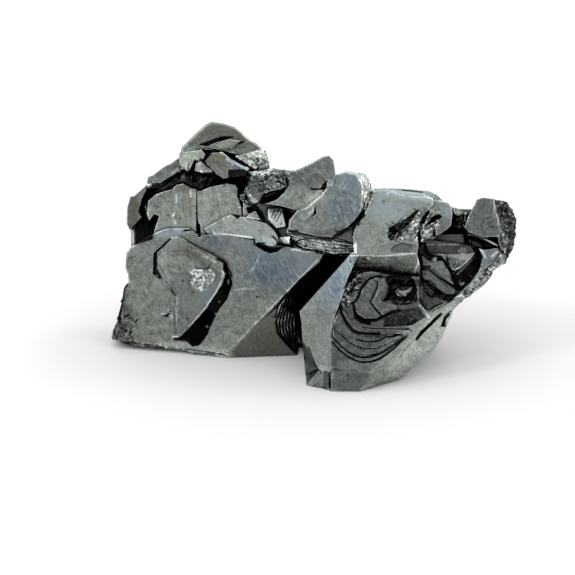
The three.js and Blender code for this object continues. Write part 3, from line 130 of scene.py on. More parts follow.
dimming.inputs["To Min"].default_value = FULL
dimming.inputs["To Max"].default_value = DIM
sky.links.new(facing.outputs["Value"], dimming.inputs["Value"])
sky.links.new(dimming.outputs["Result"], sky.nodes["Background"].inputs["Strength"])
sky.nodes["Background"].inputs["Color"].default_value = TENT_WHITE


def hang_lamp(name, place, size, watts):
    lamp = bpy.data.lights.new(name, "AREA")
    lamp.shape, lamp.size, lamp.energy = "DISK", size, watts
    holder = bpy.data.objects.new(name, lamp)
    bpy.context.collection.objects.link(holder)
    holder.location = place
    ray = Vector(AIM) - Vector(place)
    holder.rotation_euler = ray.to_track_quat("-Z", "Y").to_euler()


hang_lamp("lamp_left", (-0.55, -0.25, 0.6), 0.16, 0.8)
hang_lamp("lamp_right", (0.45, 0.35, 0.7), 0.2, 0.8)

# ---------------------------------------------------------------- the crystals' fine surface
# The solid's facets stay where they are, and the foot's fluted corner is added to them. They are
# scored into small fields for the finish to follow, and broken places get a crumbled surface.
WELD = 2e-6                                # m, points closer than this are one
FLAT = math.radians(0.4)                   # facets that turn less than this from each other are one
FOOT_CORNER = [                            # mm, the corners of its hull in the growth frame
    (-1.14, 2.15, 1.35), (0.4, 2.6, 4.8), (1.5, 2.3, 5.72), (-1.1, 0.72, 4.1), (-0.5, 0.6, 4.45),
    (0.6, 0.52, 4.9), (1.8, 0.45, 5.5), (-1.1, 2, 0.95), (1.5, 1.2, 3),
]
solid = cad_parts["hematite_crystals"]
corner = bmesh.new()
for spot in FOOT_CORNER:
    corner.verts.new(stand(*spot))
bmesh.ops.convex_hull(corner, input=corner.verts)
corner_mesh, whole_mesh = bpy.data.meshes.new("corner"), bpy.data.meshes.new("whole")
corner.to_mesh(corner_mesh)
corner.free()
whole = bmesh.new()
whole.from_mesh(solid.data)
bmesh.ops.remove_doubles(whole, verts=whole.verts, dist=WELD)
whole.to_mesh(whole_mesh)
whole.free()
parts = [bpy.data.objects.new(mesh.name, mesh) for mesh in (whole_mesh, corner_mesh)]
for part in parts:
    bpy.context.collection.objects.link(part)
union = parts[0].modifiers.new("union", "BOOLEAN")
union.operation, union.solver, union.object = "UNION", "EXACT", parts[1]
cut = bmesh.new()
cut.from_object(parts[0], bpy.context.evaluated_depsgraph_get())
for part in parts:
    bpy.data.objects.remove(part)
bmesh.ops.remove_doubles(cut, verts=cut.verts, dist=WELD)
bmesh.ops.dissolve_limit(
    cut, angle_limit=FLAT, verts=cut.verts, edges=cut.edges, delimit={"NORMAL"}
)
FIELD = 0.8                                # mm between the scored lines
ON_PLANE = 1e-7                            # m, points closer to a scoring plane than this are on it
ACROSS, ALONG = Vector((1, 0, 0)), Vector((0, math.cos(LEAN), math.sin(LEAN)))
for side, first, last in ((ACROSS, -25, 25.5), (ALONG, 0.5, 34)):
    for step in np.arange(first, last, FIELD):
        at = stand(step, 0, 0) if side is ACROSS else stand(0, step, 0)
        everything = cut.verts[:] + cut.edges[:] + cut.faces[:]
        bmesh.ops.bisect_plane(cut, geom=everything, dist=ON_PLANE, plane_co=at, plane_no=side)
bmesh.ops.triangulate(cut, faces=cut.faces)

# Outlines that serve more than once below, in the growth frame, in mm.
WINDOW = [(-15.8, 14.9), (-15.1, 15.2), (-14.2, 14.95), (-13.1, 15.2), (-12.4, 14.5), (-12.9, 13.6),
    (-13.4, 13.2), (-13.7, 12.7), (-14.4, 12.4), (-15.2, 12.9), (-15.7, 13.6), (-15.4, 14.3)]
FLANK = [(-10.1, 29.4), (-7.3, 30.1), (-6, 30.4), (-5.5, 28.6), (-5.5, 27), (-7.6, 27),
    (-9.4, 28.7)]
LOBE_WALL = [(5.6, 27.4), (7.6, 25.6), (6.5, 22.4), (5.3, 20.4), (4.9, 20.9), (5.8, 22.4),
    (6.1, 24.2)]
HEAD_SIDE = [(22.3, 24.3), (25.5, 24), (25.5, 17), (23.3, 17.2), (23, 19.2), (23.3, 20),
    (22.9, 21.8)]
LEDGE = [(-3.6, 19.7), (-1.5, 19.2), (2.3, 18.7), (5.2, 18.4), (5.2, 16.8), (-3, 17.6)]
BASIN_EDGE = [(3.3, 10.7), (3.4, 12), (4.4, 14.6), (6, 15.1), (5.6, 13.6), (5, 11.6), (4.6, 10.6)]
APRON = [(8.5, 8), (8.6, 9.4), (10.4, 10.1), (12.8, 10.4), (13.9, 9.3), (12.1, 8.2)]
PIT = [(8.3, 11.2), (8.9, 12.3), (9.1, 13.1), (8.7, 13.9), (9.1, 14.5), (10.6, 14.3), (11.4, 14.8),
    (12.2, 14), (12.7, 13), (12.7, 11.2), (12.3, 10.9), (11, 10.7), (9.9, 10.8)]
RIBBED_OVAL = [(13.5, 13.9), (14.3, 13.95), (15, 13.4), (15.4, 12.6), (15.2, 11.9), (14.6, 11.5),
    (13.9, 11.9), (13.5, 12.8)]

# Broken ground: a rise in mm, and its outline. The grains move about half of the rise on average,
# and less than twice the rise at most.
GRITTY = {
    "lumps over the wing": (0.16, [(-8.5, 27.5), (-5.6, 27.9), (-2.8, 27.6), (-3.2, 26.1),
        (-3.9, 25.3), (-6.9, 24.9), (-8.5, 26.3)]),
    "lumps beside the third plate": (0.12, [(-9.5, 26), (-8.3, 26), (-7.8, 23.2), (-9.4, 22.9)]),
    "window on the bevelled plate": (0.09, WINDOW),
    "spot on the slab": (0.1, [(-19.2, 8.9), (-18.2, 9), (-17.9, 10), (-18.6, 10.4), (-19.3, 9.8)]),
    "broken flank of the knob": (0.12, FLANK),
    "chipped corner of the slab": (0.14, [(-26, 6), (-22.6, 6), (-23.2, 9.7), (-25.4, 10)]),
    "lower edge of the slab": (0.12, [(-24, 5.4), (-24, 6.3), (-11, 4.7), (-11, 3.6)]),
    "broken wall of the lobe": (0.12, LOBE_WALL),
    "broken side of the head": (0.2, HEAD_SIDE),
    "right rim": (0.14, [(17.5, 9.6), (18.6, 11.2), (22.5, 15), (24.6, 16.4), (23.9, 17.6),
        (22.2, 16), (18.4, 12)]),
    "layered ledge": (0.08, LEDGE),
    "left of the hillock": (0.1, BASIN_EDGE),
    "hollow right of the shoulder": (0.1, [(17.3, 22.4), (17.2, 20.3), (18.7, 20), (18.9, 22.2)]),
    "hollow under the knob": (0.1, [(-15.4, 27.2), (-12.9, 27.4), (-11.8, 26.6), (-14.2, 25.3),
        (-15.6, 26.2)]),
    "apron": (0.05, APRON),
    "shoulder's fissures": (0.1, [(9, 18.9), (9.2, 20.4), (12.9, 22.6), (14.4, 22.6), (15.9, 22),
        (14.9, 18.9), (13, 18.5)]),
}
GRAIN = 0.3                                # mm, the size of the crumbled grains' facets
WORKED_TO = -9                             # mm, ground deeper in the growth frame stays as it is


def inside(outline, x, y):
    hit = np.zeros(len(x), bool)
    for (x0, y0), (x1, y1) in zip(outline, outline[1:] + outline[:1]):
        if y0 != y1:
            hit ^= ((y0 > y) != (y1 > y)) & (x < x0 + (y - y0) * (x1 - x0) / (y1 - y0))
    return hit


def grit_at(points):
    flat = lie(points)
    height = np.zeros(len(flat))
    for rise, outline in GRITTY.values():
        height = np.maximum(height, rise * inside(outline, flat[:, 0], flat[:, 1]))
    return height * (flat[:, 2] > WORKED_TO)


# Painted shade in cracks and seams, and painted highlights along edges and on glints, as lines in
# the
# growth frame: a tone, a half width in mm, the lines.
SHADE_AND_HIGHLIGHT_LINES = [
    # grooves and lines across the beak, the small head, the upper plates and the bevelled plate
    (0.9, 0.06, [
        [(13.8, 18.3), (17.9, 18.3)], [(17.9, 17.4), (18.4, 17.9)], [(18.2, 17.3), (18.7, 17.8)],
        [(18.5, 17.2), (18.9, 17.6)]
    ]),
    (1.6, 0.08, [[(22.7, 22), (22.9, 21.2), (23.2, 20.3), (23.5, 19.5), (24, 18.9)]]),
    (0.8, 0.15, [[(-23.3, 24), (-23.3, 22.5), (-23.2, 21.2)], [(-22.6, 16.9), (-23.3, 16.6)]]),
    (0.5, 0.07, [
        [(-18.5, 17.6), (-18.4, 17.1), (-17.8, 16.95), (-16.3, 17), (-15.7, 16.8)],
        [(-18.2, 17.5), (-16.2, 17.6), (-15.9, 18.3)], [(-16.5, 18.8), (-15, 18.2), (-13.3, 17.3)],
        [(-15.8, 18.1), (-14.5, 17.7), (-13.4, 17.1)], [(-17.6, 9.8), (-17.6, 8.6), (-17.7, 7.3)],
        [(-13.9, 30.6), (-13.2, 30.4), (-12, 30.15), (-11, 30.4), (-10, 30.7)],
        [(-13.7, 28.9), (-12.5, 28.4), (-11.5, 28.2)], [(20.6, 14.4), (21.5, 14.7)],
        [(0.6, 11.3), (0.5, 10.5)], [(-0.3, 9.6), (1.2, 9.4)], [(-17.9, 24.6), (-17.9, 22.4)],
        [(-14, 20.3), (-13.3, 19.4)], [(12.4, 20.2), (11.8, 20), (11.3, 19.6)],
        [(10.6, 4.2), (11.2, 5.2), (12, 6)]
    ]),
    (0.3, 0.06, [
        [(8.3, 16.7), (7.1, 15.5)],
        [(4.8, 4.75), (5.5, 4.6), (6.5, 4.55), (7.5, 4.65), (8.8, 5.3), (10.2, 6.3)],
        [(-19.5, 15.7), (-18.7, 14.3)], [(-18.2, 13.7), (-17.3, 12.1)],
        [(21, 21.2), (21.3, 21.6), (21.9, 21.7)], [(20.7, 20.9), (20.9, 20.3)],
        [(21.6, 20.9), (22.3, 21.3)], [(20, 13.4), (20.9, 13.4), (21.9, 14)],
        [(-5.4, 22.6), (-5, 21.9)], [(21.3, 20.2), (21.9, 20.6), (22.5, 20.4)],
        [(-24, 9.5), (-23, 9.4)]
    ]),
    # grooves round the knob and the stripes on the upper plates
    (0.45, 0.06, [
        [(-13.8, 29.1), (-13.1, 29.9), (-12.1, 30.1)],
        [(-13.8, 28.8), (-13.4, 28.4), (-12.6, 28.1)], [(-13, 29.5), (-11.5, 29.3), (-10.6, 28.7)],
        [(-12.7, 28.75), (-11.8, 28.5), (-11, 28)], [(-12.6, 27.9), (-11.8, 27)],
        [(-12, 28.1), (-11.3, 27.4)],
        [(-12, 30.3), (-11, 30.6), (-10, 30.9), (-9, 31.2), (-8.5, 31.4)],
        [(-11, 30.1), (-9.8, 30.4), (-8.6, 30.5)]
    ]),
    (0.75, 0.07, [
        [(-14.9, 31.2), (-13.4, 32.2), (-11.6, 32.5), (-9.6, 32.2)],
        [(-14.2, 32), (-12.6, 32.9), (-11, 33.1)], [(-12.5, 31), (-10.8, 31.5), (-9.2, 31.7)],
        [(-10.4, 31.1), (-9, 30.9)], [(-12.3, 24.4), (-12, 22)], [(-15.7, 24.6), (-15.6, 21.8)],
        [(-16.6, 24), (-16.5, 22.4)]
    ]),
    # painted highlights along the edges, and painted glints
    (2.2, 0.18, [[(-11, 29), (-10.4, 28.7), (-9.8, 28.4)]]),
    (2.2, 0.07, [
        [(-9.75, 6.15), (-6.25, 9.65), (-2.65, 13.35), (0.35, 16.45)],
        [(5, 16.95), (6.5, 16.9), (8.3, 16.85), (11, 17.1), (12.6, 17.2)],
        [(6.9, 15.28), (8, 15.08), (9.4, 14.8), (10.8, 14.52)],
        [(9.1, 24.75), (9.6, 24.9), (10.1, 24.75), (10.6, 24.5), (11.1, 24.45)],
        [(11.8, 24.4), (12.5, 24.25), (13.3, 24.25), (14.1, 24.2), (14.7, 24)],
        [(14.6, 23.3), (14.2, 22.8)], [(-10, 12.6), (-9, 12.8), (-7.6, 12.75)],
        [(-7.9, 15), (-7.2, 16.4), (-7, 17)], [(22.4, 23.9), (22.4, 23), (22.4, 22.3)],
        [(3, 25.4), (3.8, 26.4)], [(3.3, 25), (4, 25.9)],
        [(-1.3, 23.2), (-0.9, 23.8), (-0.6, 24.1)], [(17.1, 15.2), (18.2, 15.4), (20, 17)],
        [(17.8, 14.6), (19.6, 16.4)], [(-21.3, 23.9), (-21.3, 23), (-21.1, 22.3)],
        [(-18.3, 26.7), (-17.2, 27.2)],
        [(19.1, 19.6), (20, 19.5), (21, 19.1), (22, 18.6), (22.7, 18.2)],
        [(-5.1, 19.9), (-4.8, 19.3), (-4.3, 18.6)], [(-10.8, 13.9), (-10.9, 13.4)],
        [(-11.5, 14.7), (-11.8, 13.8), (-12, 13.2), (-12.4, 12.4), (-13.2, 11.2), (-13.75, 10.35),
            (-14.9, 9.05), (-15.8, 8.05)], [(-13.9, 16.9), (-13.4, 16.6)],
        [(-13, 16.4), (-12.4, 16.1)], [(-1.9, 10), (-1.8, 9.3)]
    ]),
    (3.4, 0.1, [
        [(-17.4, 24.5), (-17.4, 23.6)], [(-15.6, 25.1), (-15.6, 24.3)],
        [(-17.6, 22.3), (-17.8, 21.9)], [(-17.5, 21.3), (-17.5, 20.9)],
        [(-12.6, 19.7), (-11, 19.6), (-9.5, 19.4), (-8, 19.2)],
        [(-3.3, 18.05), (-2, 17.9), (-0.5, 17.55), (1.1, 17.3)], [(-14.7, 15.1), (-14.2, 15.1)],
        [(-11.6, 15), (-11.3, 14.6)], [(12.9, 16.6), (12.85, 15.9), (12.5, 15.2), (12.4, 14.5)],
        [(14.75, 23.7), (14.6, 23.3)], [(5.6, 26.4), (6, 25.6), (5.9, 24.6)],
        [(-0.2, 22.9), (-0.4, 22.5), (-0.8, 22.1)], [(-11.9, 29.9), (-11.3, 29.7), (-10.8, 29.3)],
        [(-1.4, 18.6), (0.4, 18.5), (1, 18.2)], [(1.5, 18.3), (3, 18.2)],
        [(4.3, 17.8), (4.6, 17.9)], [(-9.6, 24.3), (-9.3, 23.3), (-9.1, 22.6)],
        [(-8.9, 21.8), (-8, 21.6), (-7, 21.4), (-6.3, 21.2)], [(-5.9, 25.2), (-5.5, 25.3)],
        [(-4.6, 25.6), (-4.5, 26)], [(18.9, 21.2), (19.1, 21.8)],
        [(20.6, 17.8), (21, 17.3), (21.3, 16.7)], [(13.4, 18.9), (13.5, 18.1)],
        [(18.3, 13.3), (18.6, 13.5)], [(18, 21.5), (18.3, 21.7)], [(6.6, 16.6), (6.9, 16.4)],
        [(13.1, 10.8), (13.6, 10.1), (14, 9.5), (14.2, 9.2)], [(-14.3, 27.5), (-14.2, 27.3)],
        [(17.4, 11.5), (18.4, 12)], [(22.1, 16.8), (22.8, 17.4)], [(23.2, 16.9), (23.8, 17.6)],
        [(-16.9, 6.9), (-17.9, 6.7)]
    ]),
    (2.2, 0.14, [[(-11, 29.1), (-10.2, 28.7), (-9.6, 28.3), (-8.6, 27.8), (-8, 27.5)]]),
    # painted shade in black cracks, thin ones first
    (0.07, 0.08, [
        [(9.1, 19.7), (9.5, 20.4), (10.2, 20.9), (10.9, 21.6)],
        [(9.9, 19.5), (10.5, 20.2), (11.3, 20.8), (11.9, 21.6), (12.6, 22.3)],
        [(10.2, 19.2), (11, 19.9), (11.8, 20.7)],
        [(12.3, 20.1), (13, 20.8), (13.5, 21.5), (14, 22), (14.2, 22.5)],
        [(12.8, 20.2), (13.4, 20.9), (14.1, 21.5), (14.6, 22.2)],
        [(11.2, 21.2), (12, 22), (12.9, 22.7)], [(-5.4, 21.8), (-5, 22.8)],
        [(-5.1, 21.5), (-4.5, 22.7)], [(-4.8, 21.2), (-4.2, 22.4)],
        [(1.8, 2.3), (1.82, 1.4), (1.78, 0.6)], [(0.4, 2.65), (0, 3.4), (-0.4, 4.4), (-0.85, 5.5)],
        [(1.9, 2.2), (2.2, 2.75), (2.6, 2.85), (2.95, 2.6)],
        [(-0.6, 2.3), (0, 2.65), (0.6, 2.6), (0.8, 2.2)],
        [(2.3, 7.8), (3.5, 6.9), (4.2, 6.2), (5, 5.7), (5.8, 5.35)],
        [(6.2, 6.85), (6.9, 6.85), (7.9, 6.85), (9, 7.05)],
        [(5.9, 8), (7.5, 7.85), (9.5, 7.8), (11.6, 7.8), (12.1, 7.5)],
        [(3.9, 13.2), (4.5, 13.9), (5.1, 14.4)], [(3.9, 12), (4.2, 12.6)],
        [(3.2, 10.4), (3.9, 10), (4.2, 9.3)], [(4.3, 9), (5, 9.1)],
        [(3.6, 12.8), (4, 13.6), (4.4, 14.2), (5, 14.7), (6, 15), (7.2, 15.05)],
        [(4.8, 15.85), (5.8, 15.9), (7, 15.9)], [(14, 15.4), (15.2, 14.3), (16.6, 13)],
        [(15.5, 16.9), (16.1, 16.3), (16.4, 15.5)], [(14.6, 10), (15.4, 10.4), (16, 10.7)],
        [(16.2, 10.8), (17, 11.3), (18, 11.7)], [(14, 17.2), (18, 17.2)],
        [(17, 15.3), (17.5, 15.9)], [(17.3, 15.1), (17.9, 15.8)],
        [(9.5, 17.7), (9.9, 18.1), (10.8, 18.45), (12, 18.2)],
        [(11, 25.1), (12.3, 25), (13.4, 24.85)], [(9.2, 20.3), (9.8, 20.1)],
        [(9.6, 21.1), (10, 20.8)], [(12.4, 22.8), (12.6, 22.3)],
        [(13.9, 20.3), (14.6, 20.7), (15.3, 21.1)],
        [(2.9, 19.4), (3.3, 19.8), (4.5, 20.1), (5.2, 20.9), (5.9, 21.8)],
        [(-3, 19.7), (-1, 19.5), (1, 19.2), (2.3, 19.1), (4, 18.8)],
        [(-2.6, 18.6), (-1.6, 19), (0, 19), (1.2, 19), (2.4, 18.9)], [(-5, 22.4), (-4.4, 22.7)],
        [(-9.2, 23.7), (-8.5, 23.4), (-7.8, 23.2), (-7.2, 23.2)],
        [(-18.7, 13.7), (-18.1, 13), (-17.5, 12)],
        [(-15, 15.6), (-14.6, 15.3), (-13.6, 15.3), (-13, 15.9)],
        [(-15.8, 28.5), (-15.9, 27.8), (-15.9, 27.2)], [(-15, 28.75), (-14.3, 28.85), (-14, 28.6)],
        [(-10.1, 29.1), (-9.4, 28.7), (-8.6, 28.2), (-7.9, 27.9)],
        [(22.2, 16.1), (22.7, 16.6), (23, 17.1)], [(24.5, 20.2), (24.2, 19.2)],
        [(-15.8, 5.2), (-14, 4.9), (-11.5, 4.5)],
        [(-24.5, 6.1), (-23, 6), (-21.9, 5.75), (-20.3, 5.75), (-19, 5.4)],
        [(16.5, 16.9), (16.4, 16.4)], [(7.1, 11), (7.7, 10.1), (8.1, 9.5)],
        [(5.4, 14.1), (6.2, 13.9), (6.6, 13.6)], [(7.2, 14.1), (7.6, 13.6)],
        [(11.6, 7.1), (10.8, 6.4), (10, 5.7)]
    ]),
    # thin sheets in the gap beside the slab, and painted glints on them
    (0.5, 0.04, [
        [(-4.75, 10.3), (-3.6, 11.7), (-1.9, 13.5), (-0.4, 15)],
        [(-4.3, 10.3), (-3.2, 11.5), (-1.5, 13.2), (0.1, 14.9)],
        [(-3.85, 10.4), (-2.8, 11.4), (-1.2, 13)],
        [(-3.4, 10.5), (-2.3, 11.6), (-0.9, 12.9), (0.6, 14.6)],
        [(-2.7, 10.6), (-1.6, 12), (0, 13.6)]
    ]),
    (2.4, 0.065, [
        [(-4.3, 11.1), (-4.6, 9.8), (-4.6, 8.6), (-4.1, 7.2), (-3.1, 5.9), (-2.4, 5.2)],
        [(-3.9, 11.3), (-4.2, 9.8), (-4.2, 8.6), (-3.75, 7.3), (-2.9, 6.2), (-2.3, 5.6)],
        [(-3.5, 11.4), (-3.75, 10), (-3.75, 8.7), (-3.4, 7.6), (-2.7, 6.6), (-2.2, 6)],
        [(-3, 11.4), (-3.3, 10), (-3.3, 8.8), (-3, 7.8), (-2.5, 7), (-2.1, 6.5)],
        [(-2.6, 11), (-2.85, 9.9), (-2.8, 8.9), (-2.55, 8.1), (-2.15, 7.2)]
    ]),
    # painted glints on crumbs in this gap, beside the bevelled plate and under the knob
    (1, 0.06, [
        [(0.1, 15.1), (0.25, 15.2)], [(0.2, 14.1), (0.3, 14.2)], [(0.85, 14.75), (1, 14.8)],
        [(1.5, 15.4), (1.6, 15.5)], [(-0.9, 13.3), (-0.8, 13.5)], [(-1.6, 12.3), (-1.4, 12.4)],
        [(0.9, 15.9), (1.1, 16)], [(-2.2, 12.2), (-2.1, 12.4)], [(-12, 11.1), (-12, 11.2)],
        [(-13.6, 8), (-13.5, 8.1)], [(-12.5, 9.6), (-12.4, 9.7)],
        [(-14.6, 26.3), (-14.1, 26.6), (-13.4, 26.5)], [(-15.6, 26.6), (-15.5, 27.3)],
        [(-14.3, 25.6), (-13.9, 26)]
    ]),
    # seams among the upper plates
    (0.5, 0.12, [
        [(-19.2, 25.35), (-18, 26.2), (-17, 27.2)], [(-18, 25.75), (-17.2, 26.3), (-16, 26.8)]
    ]),
    # painted shade in wider cracks and along the growth terraces of the front face
    (0.04, 0.13, [
        [(-24.6, 8.8), (-24.5, 8.5)], [(-24, 9.3), (-23.4, 9.4)], [(-23, 9.1), (-22.9, 8.8)],
        [(-22.6, 8.6), (-22.3, 8.9)], [(-24.2, 8), (-24, 7.7)], [(-23.3, 7.2), (-23, 7.4)],
        [(2.1, 6.2), (3, 5.2), (4, 4.4), (5, 3.85), (6, 3.62), (7, 3.75), (8, 4.1), (9, 4.75),
            (10, 5.5), (11.4, 6.8)],
        [(2.2, 6.75), (3, 5.9), (4, 5), (5, 4.45), (6, 4.25), (7, 4.35), (8, 4.65), (9, 5.2),
            (10, 5.9), (11, 6.7)],
        [(5.2, 6.5), (6, 6.25), (7, 6.15), (8, 6.35), (8.8, 6.8), (9.6, 6.8), (10.6, 7.05)],
        [(4.6, 11), (5.1, 11.2), (5.6, 12), (5.7, 12.6), (6.2, 13.2), (6.6, 13.8), (7.1, 14.2),
            (8, 14.35), (8.9, 14.2)],
        [(7.85, 13.7), (7.75, 13), (7.3, 12.1), (6.9, 11.1), (7.5, 10.3), (8.1, 9.6)],
        [(4.4, 12.6), (5.2, 13.4), (5.8, 13.6)], [(4.1, 12.2), (4.7, 12.6), (5.4, 12.6)],
        [(5.2, 13.9), (5.6, 13.7)], [(3.3, 11.2), (3.9, 10.9)],
        [(7, 15.1), (8, 14.9), (9, 14.7), (10.5, 14.4), (11.2, 14.3)], [(13.5, 15.5), (14.4, 15.6)],
        [(14.2, 10.1), (15, 10.6), (15.9, 11)], [(13, 11.6), (13.4, 10.8), (14, 10.2)],
        [(2.3, 19.3), (3, 19.9), (4, 20.3), (5, 21.3), (5.7, 22), (6, 22.6), (6.2, 23.5)],
        [(0, 22.9), (0.1, 22.2), (-0.3, 21.9)], [(-3.2, 20), (-2.2, 20)],
        [(-0.5, 25.2), (0.3, 25.2), (0.8, 25.3), (1.1, 25.9), (1.5, 26.2)],
        [(-5.3, 19.3), (-4.8, 18.9), (-4.6, 18.3)],
        [(-7.6, 19), (-7.6, 18.4), (-7.2, 18.3), (-6, 18.1)],
        [(-5.7, 17.5), (-5, 17.5), (-4.4, 17.8), (-3.7, 18.2)],
        [(-18.2, 19), (-19, 18.2), (-20, 17.3)], [(-12.3, 16.5), (-11.8, 16.3), (-11.3, 16)],
        [(-11, 15.4), (-10.6, 14.9), (-10.4, 14.3)], [(-13.8, 29.3), (-13.5, 29.6), (-13, 29.95)],
        [(-14.4, 29.1), (-13.9, 28.7), (-13.6, 28.2), (-13.2, 28)],
        [(-11.2, 29.9), (-10.6, 29.6), (-10.1, 29.35)], [(14.8, 20), (14.8, 19.4)],
        [(23.3, 22.8), (23.3, 22), (23.8, 21.6)], [(23.8, 22.6), (24.1, 21.9), (24.8, 21.5)],
        [(23.6, 21), (24.9, 20.9)], [(24, 17.8), (24.3, 17.1), (24, 16.6)],
        [(-14.4, 30.85), (-13.5, 31.15), (-12.6, 31.5), (-11.5, 31.8), (-10.3, 31.8)],
        [(-7.3, 11.75), (-7.25, 11.7)], [(-16.4, 20.1), (-15.6, 20.1)],
        [(-14.8, 21.2), (-14.5, 20.6), (-14.5, 19.5)], [(-25.3, 7.7), (-25.1, 7)],
        [(-5, 9.2), (-4.6, 10.6), (-3.6, 12.2)]
    ]),
    # painted highlights on slivers and rungs inside the pit, and beside it
    (1, 0.035, [
        [(10.06, 12.5), (10.3, 12), (11, 11.5)], [(9.83, 12.2), (10.06, 11.8), (10.77, 11.1)],
        [(9.63, 11.85), (9.9, 11.55)], [(9.36, 11.27), (9.6, 11.03)],
        [(10.15, 11.4), (10.6, 10.95)], [(10.37, 11.75), (11, 11.25)],
        [(10.3, 12.2), (10.5, 11.95), (11.15, 11.65)], [(9.4, 11.7), (9.6, 11.45)],
        [(12.95, 12.8), (13, 11.6)], [(13.3, 12.7), (13.3, 11.7)], [(9.15, 12.1), (9.2, 12.05)],
        [(11.6, 11.3), (11.7, 11.2)], [(12.2, 11.2), (12.3, 11.1)],
        [(13.6, 13.8), (14.4, 13.5), (15, 13)], [(13.6, 13.45), (14.3, 13.15), (14.95, 12.65)],
        [(13.7, 13.05), (14.2, 12.85), (14.8, 12.3)], [(13.8, 12.65), (14.2, 12.5), (14.6, 12.05)],
        [(8.5, 11.5), (8.9, 11.9)], [(8.9, 11.2), (9.3, 11.1)],
        [(12.75, 13.1), (12.8, 12.2), (12.9, 11.5)], [(13.05, 12.9), (13.1, 12)],
        [(11.4, 11.1), (11.8, 11.2)], [(12, 10.9), (12.4, 11)]
    ]),
    (0.95, 0.17, [
        [(10.6, 12.4), (11.1, 12.35), (11.6, 12.5), (12.25, 12.95)], [(10.9, 12.2), (11.25, 12)]
    ]),
    (0.8, 0.07, [
        [(10.22, 12.9), (10.4, 12.55)], [(11.2, 13.7), (11.45, 13.75)], [(10.85, 13.5), (11, 13.4)],
        [(11.85, 13.45), (12.05, 13.6)], [(11.35, 13.2), (11.6, 13.25)],
        [(10.05, 14.05), (10.25, 14.2)], [(11.1, 13.35), (11.25, 13.5)],
        [(9.05, 13.85), (9.45, 14.2)]
    ]),
    # painted shade in the widest seams and steps
    (0.03, 0.2, [
        [(3.25, 10.6), (3.2, 9.9), (3.6, 9.1), (4.1, 8.2), (4.7, 7.5), (5.3, 7.25), (6.3, 7.2),
            (8, 7.15)],
        [(4.75, 11), (4.9, 10.3), (5, 9.5), (5.6, 9), (6.4, 8.75), (7.6, 8.85), (8.4, 9.3),
            (9.6, 9.9), (10.6, 10.1)], [(5, 9.2), (5.8, 8.6), (6.8, 8.45)],
        [(9.05, 13.9), (9.3, 14.2), (10, 14.3), (10.8, 14.3), (11.4, 14.65), (11.9, 14.2)],
        [(13, 17.2), (13.3, 16.2), (13.25, 15), (13.3, 14)],
        [(12.7, 6.5), (13.3, 7.4), (14.3, 8.2), (15, 9), (15.7, 9.6)],
        [(16.5, 16.5), (16.6, 15.7), (17, 14.8), (17.2, 13.9), (17.8, 13)],
        [(16.1, 8.3), (16.2, 9), (16.7, 9.6)],
        [(14.1, 20.9), (14.8, 21.5), (15.4, 21.9), (15.7, 21.8)],
        [(13.2, 18.3), (13, 18.9), (12.9, 19.6)], [(-3.9, 22.8), (-3.4, 22), (-3.6, 21.3)],
        [(-8.5, 22.9), (-8, 22.4)], [(-20, 17.2), (-19.95, 16), (-20, 14.7)],
        [(-19.8, 15), (-19.4, 14.2)],
        [(-23.6, 13.3), (-24, 12.8), (-24.2, 11.5), (-24.4, 10.5), (-24.6, 9.4), (-24.5, 9)],
        [(-17.6, 6.5), (-16.7, 6.4), (-15.8, 6.3)],
        [(-15, 28.8), (-15.3, 28), (-15.4, 27.2), (-15.1, 26.6)],
        [(9.3, 19.3), (9.8, 19.8), (10.3, 20.1)]
    ]),
]
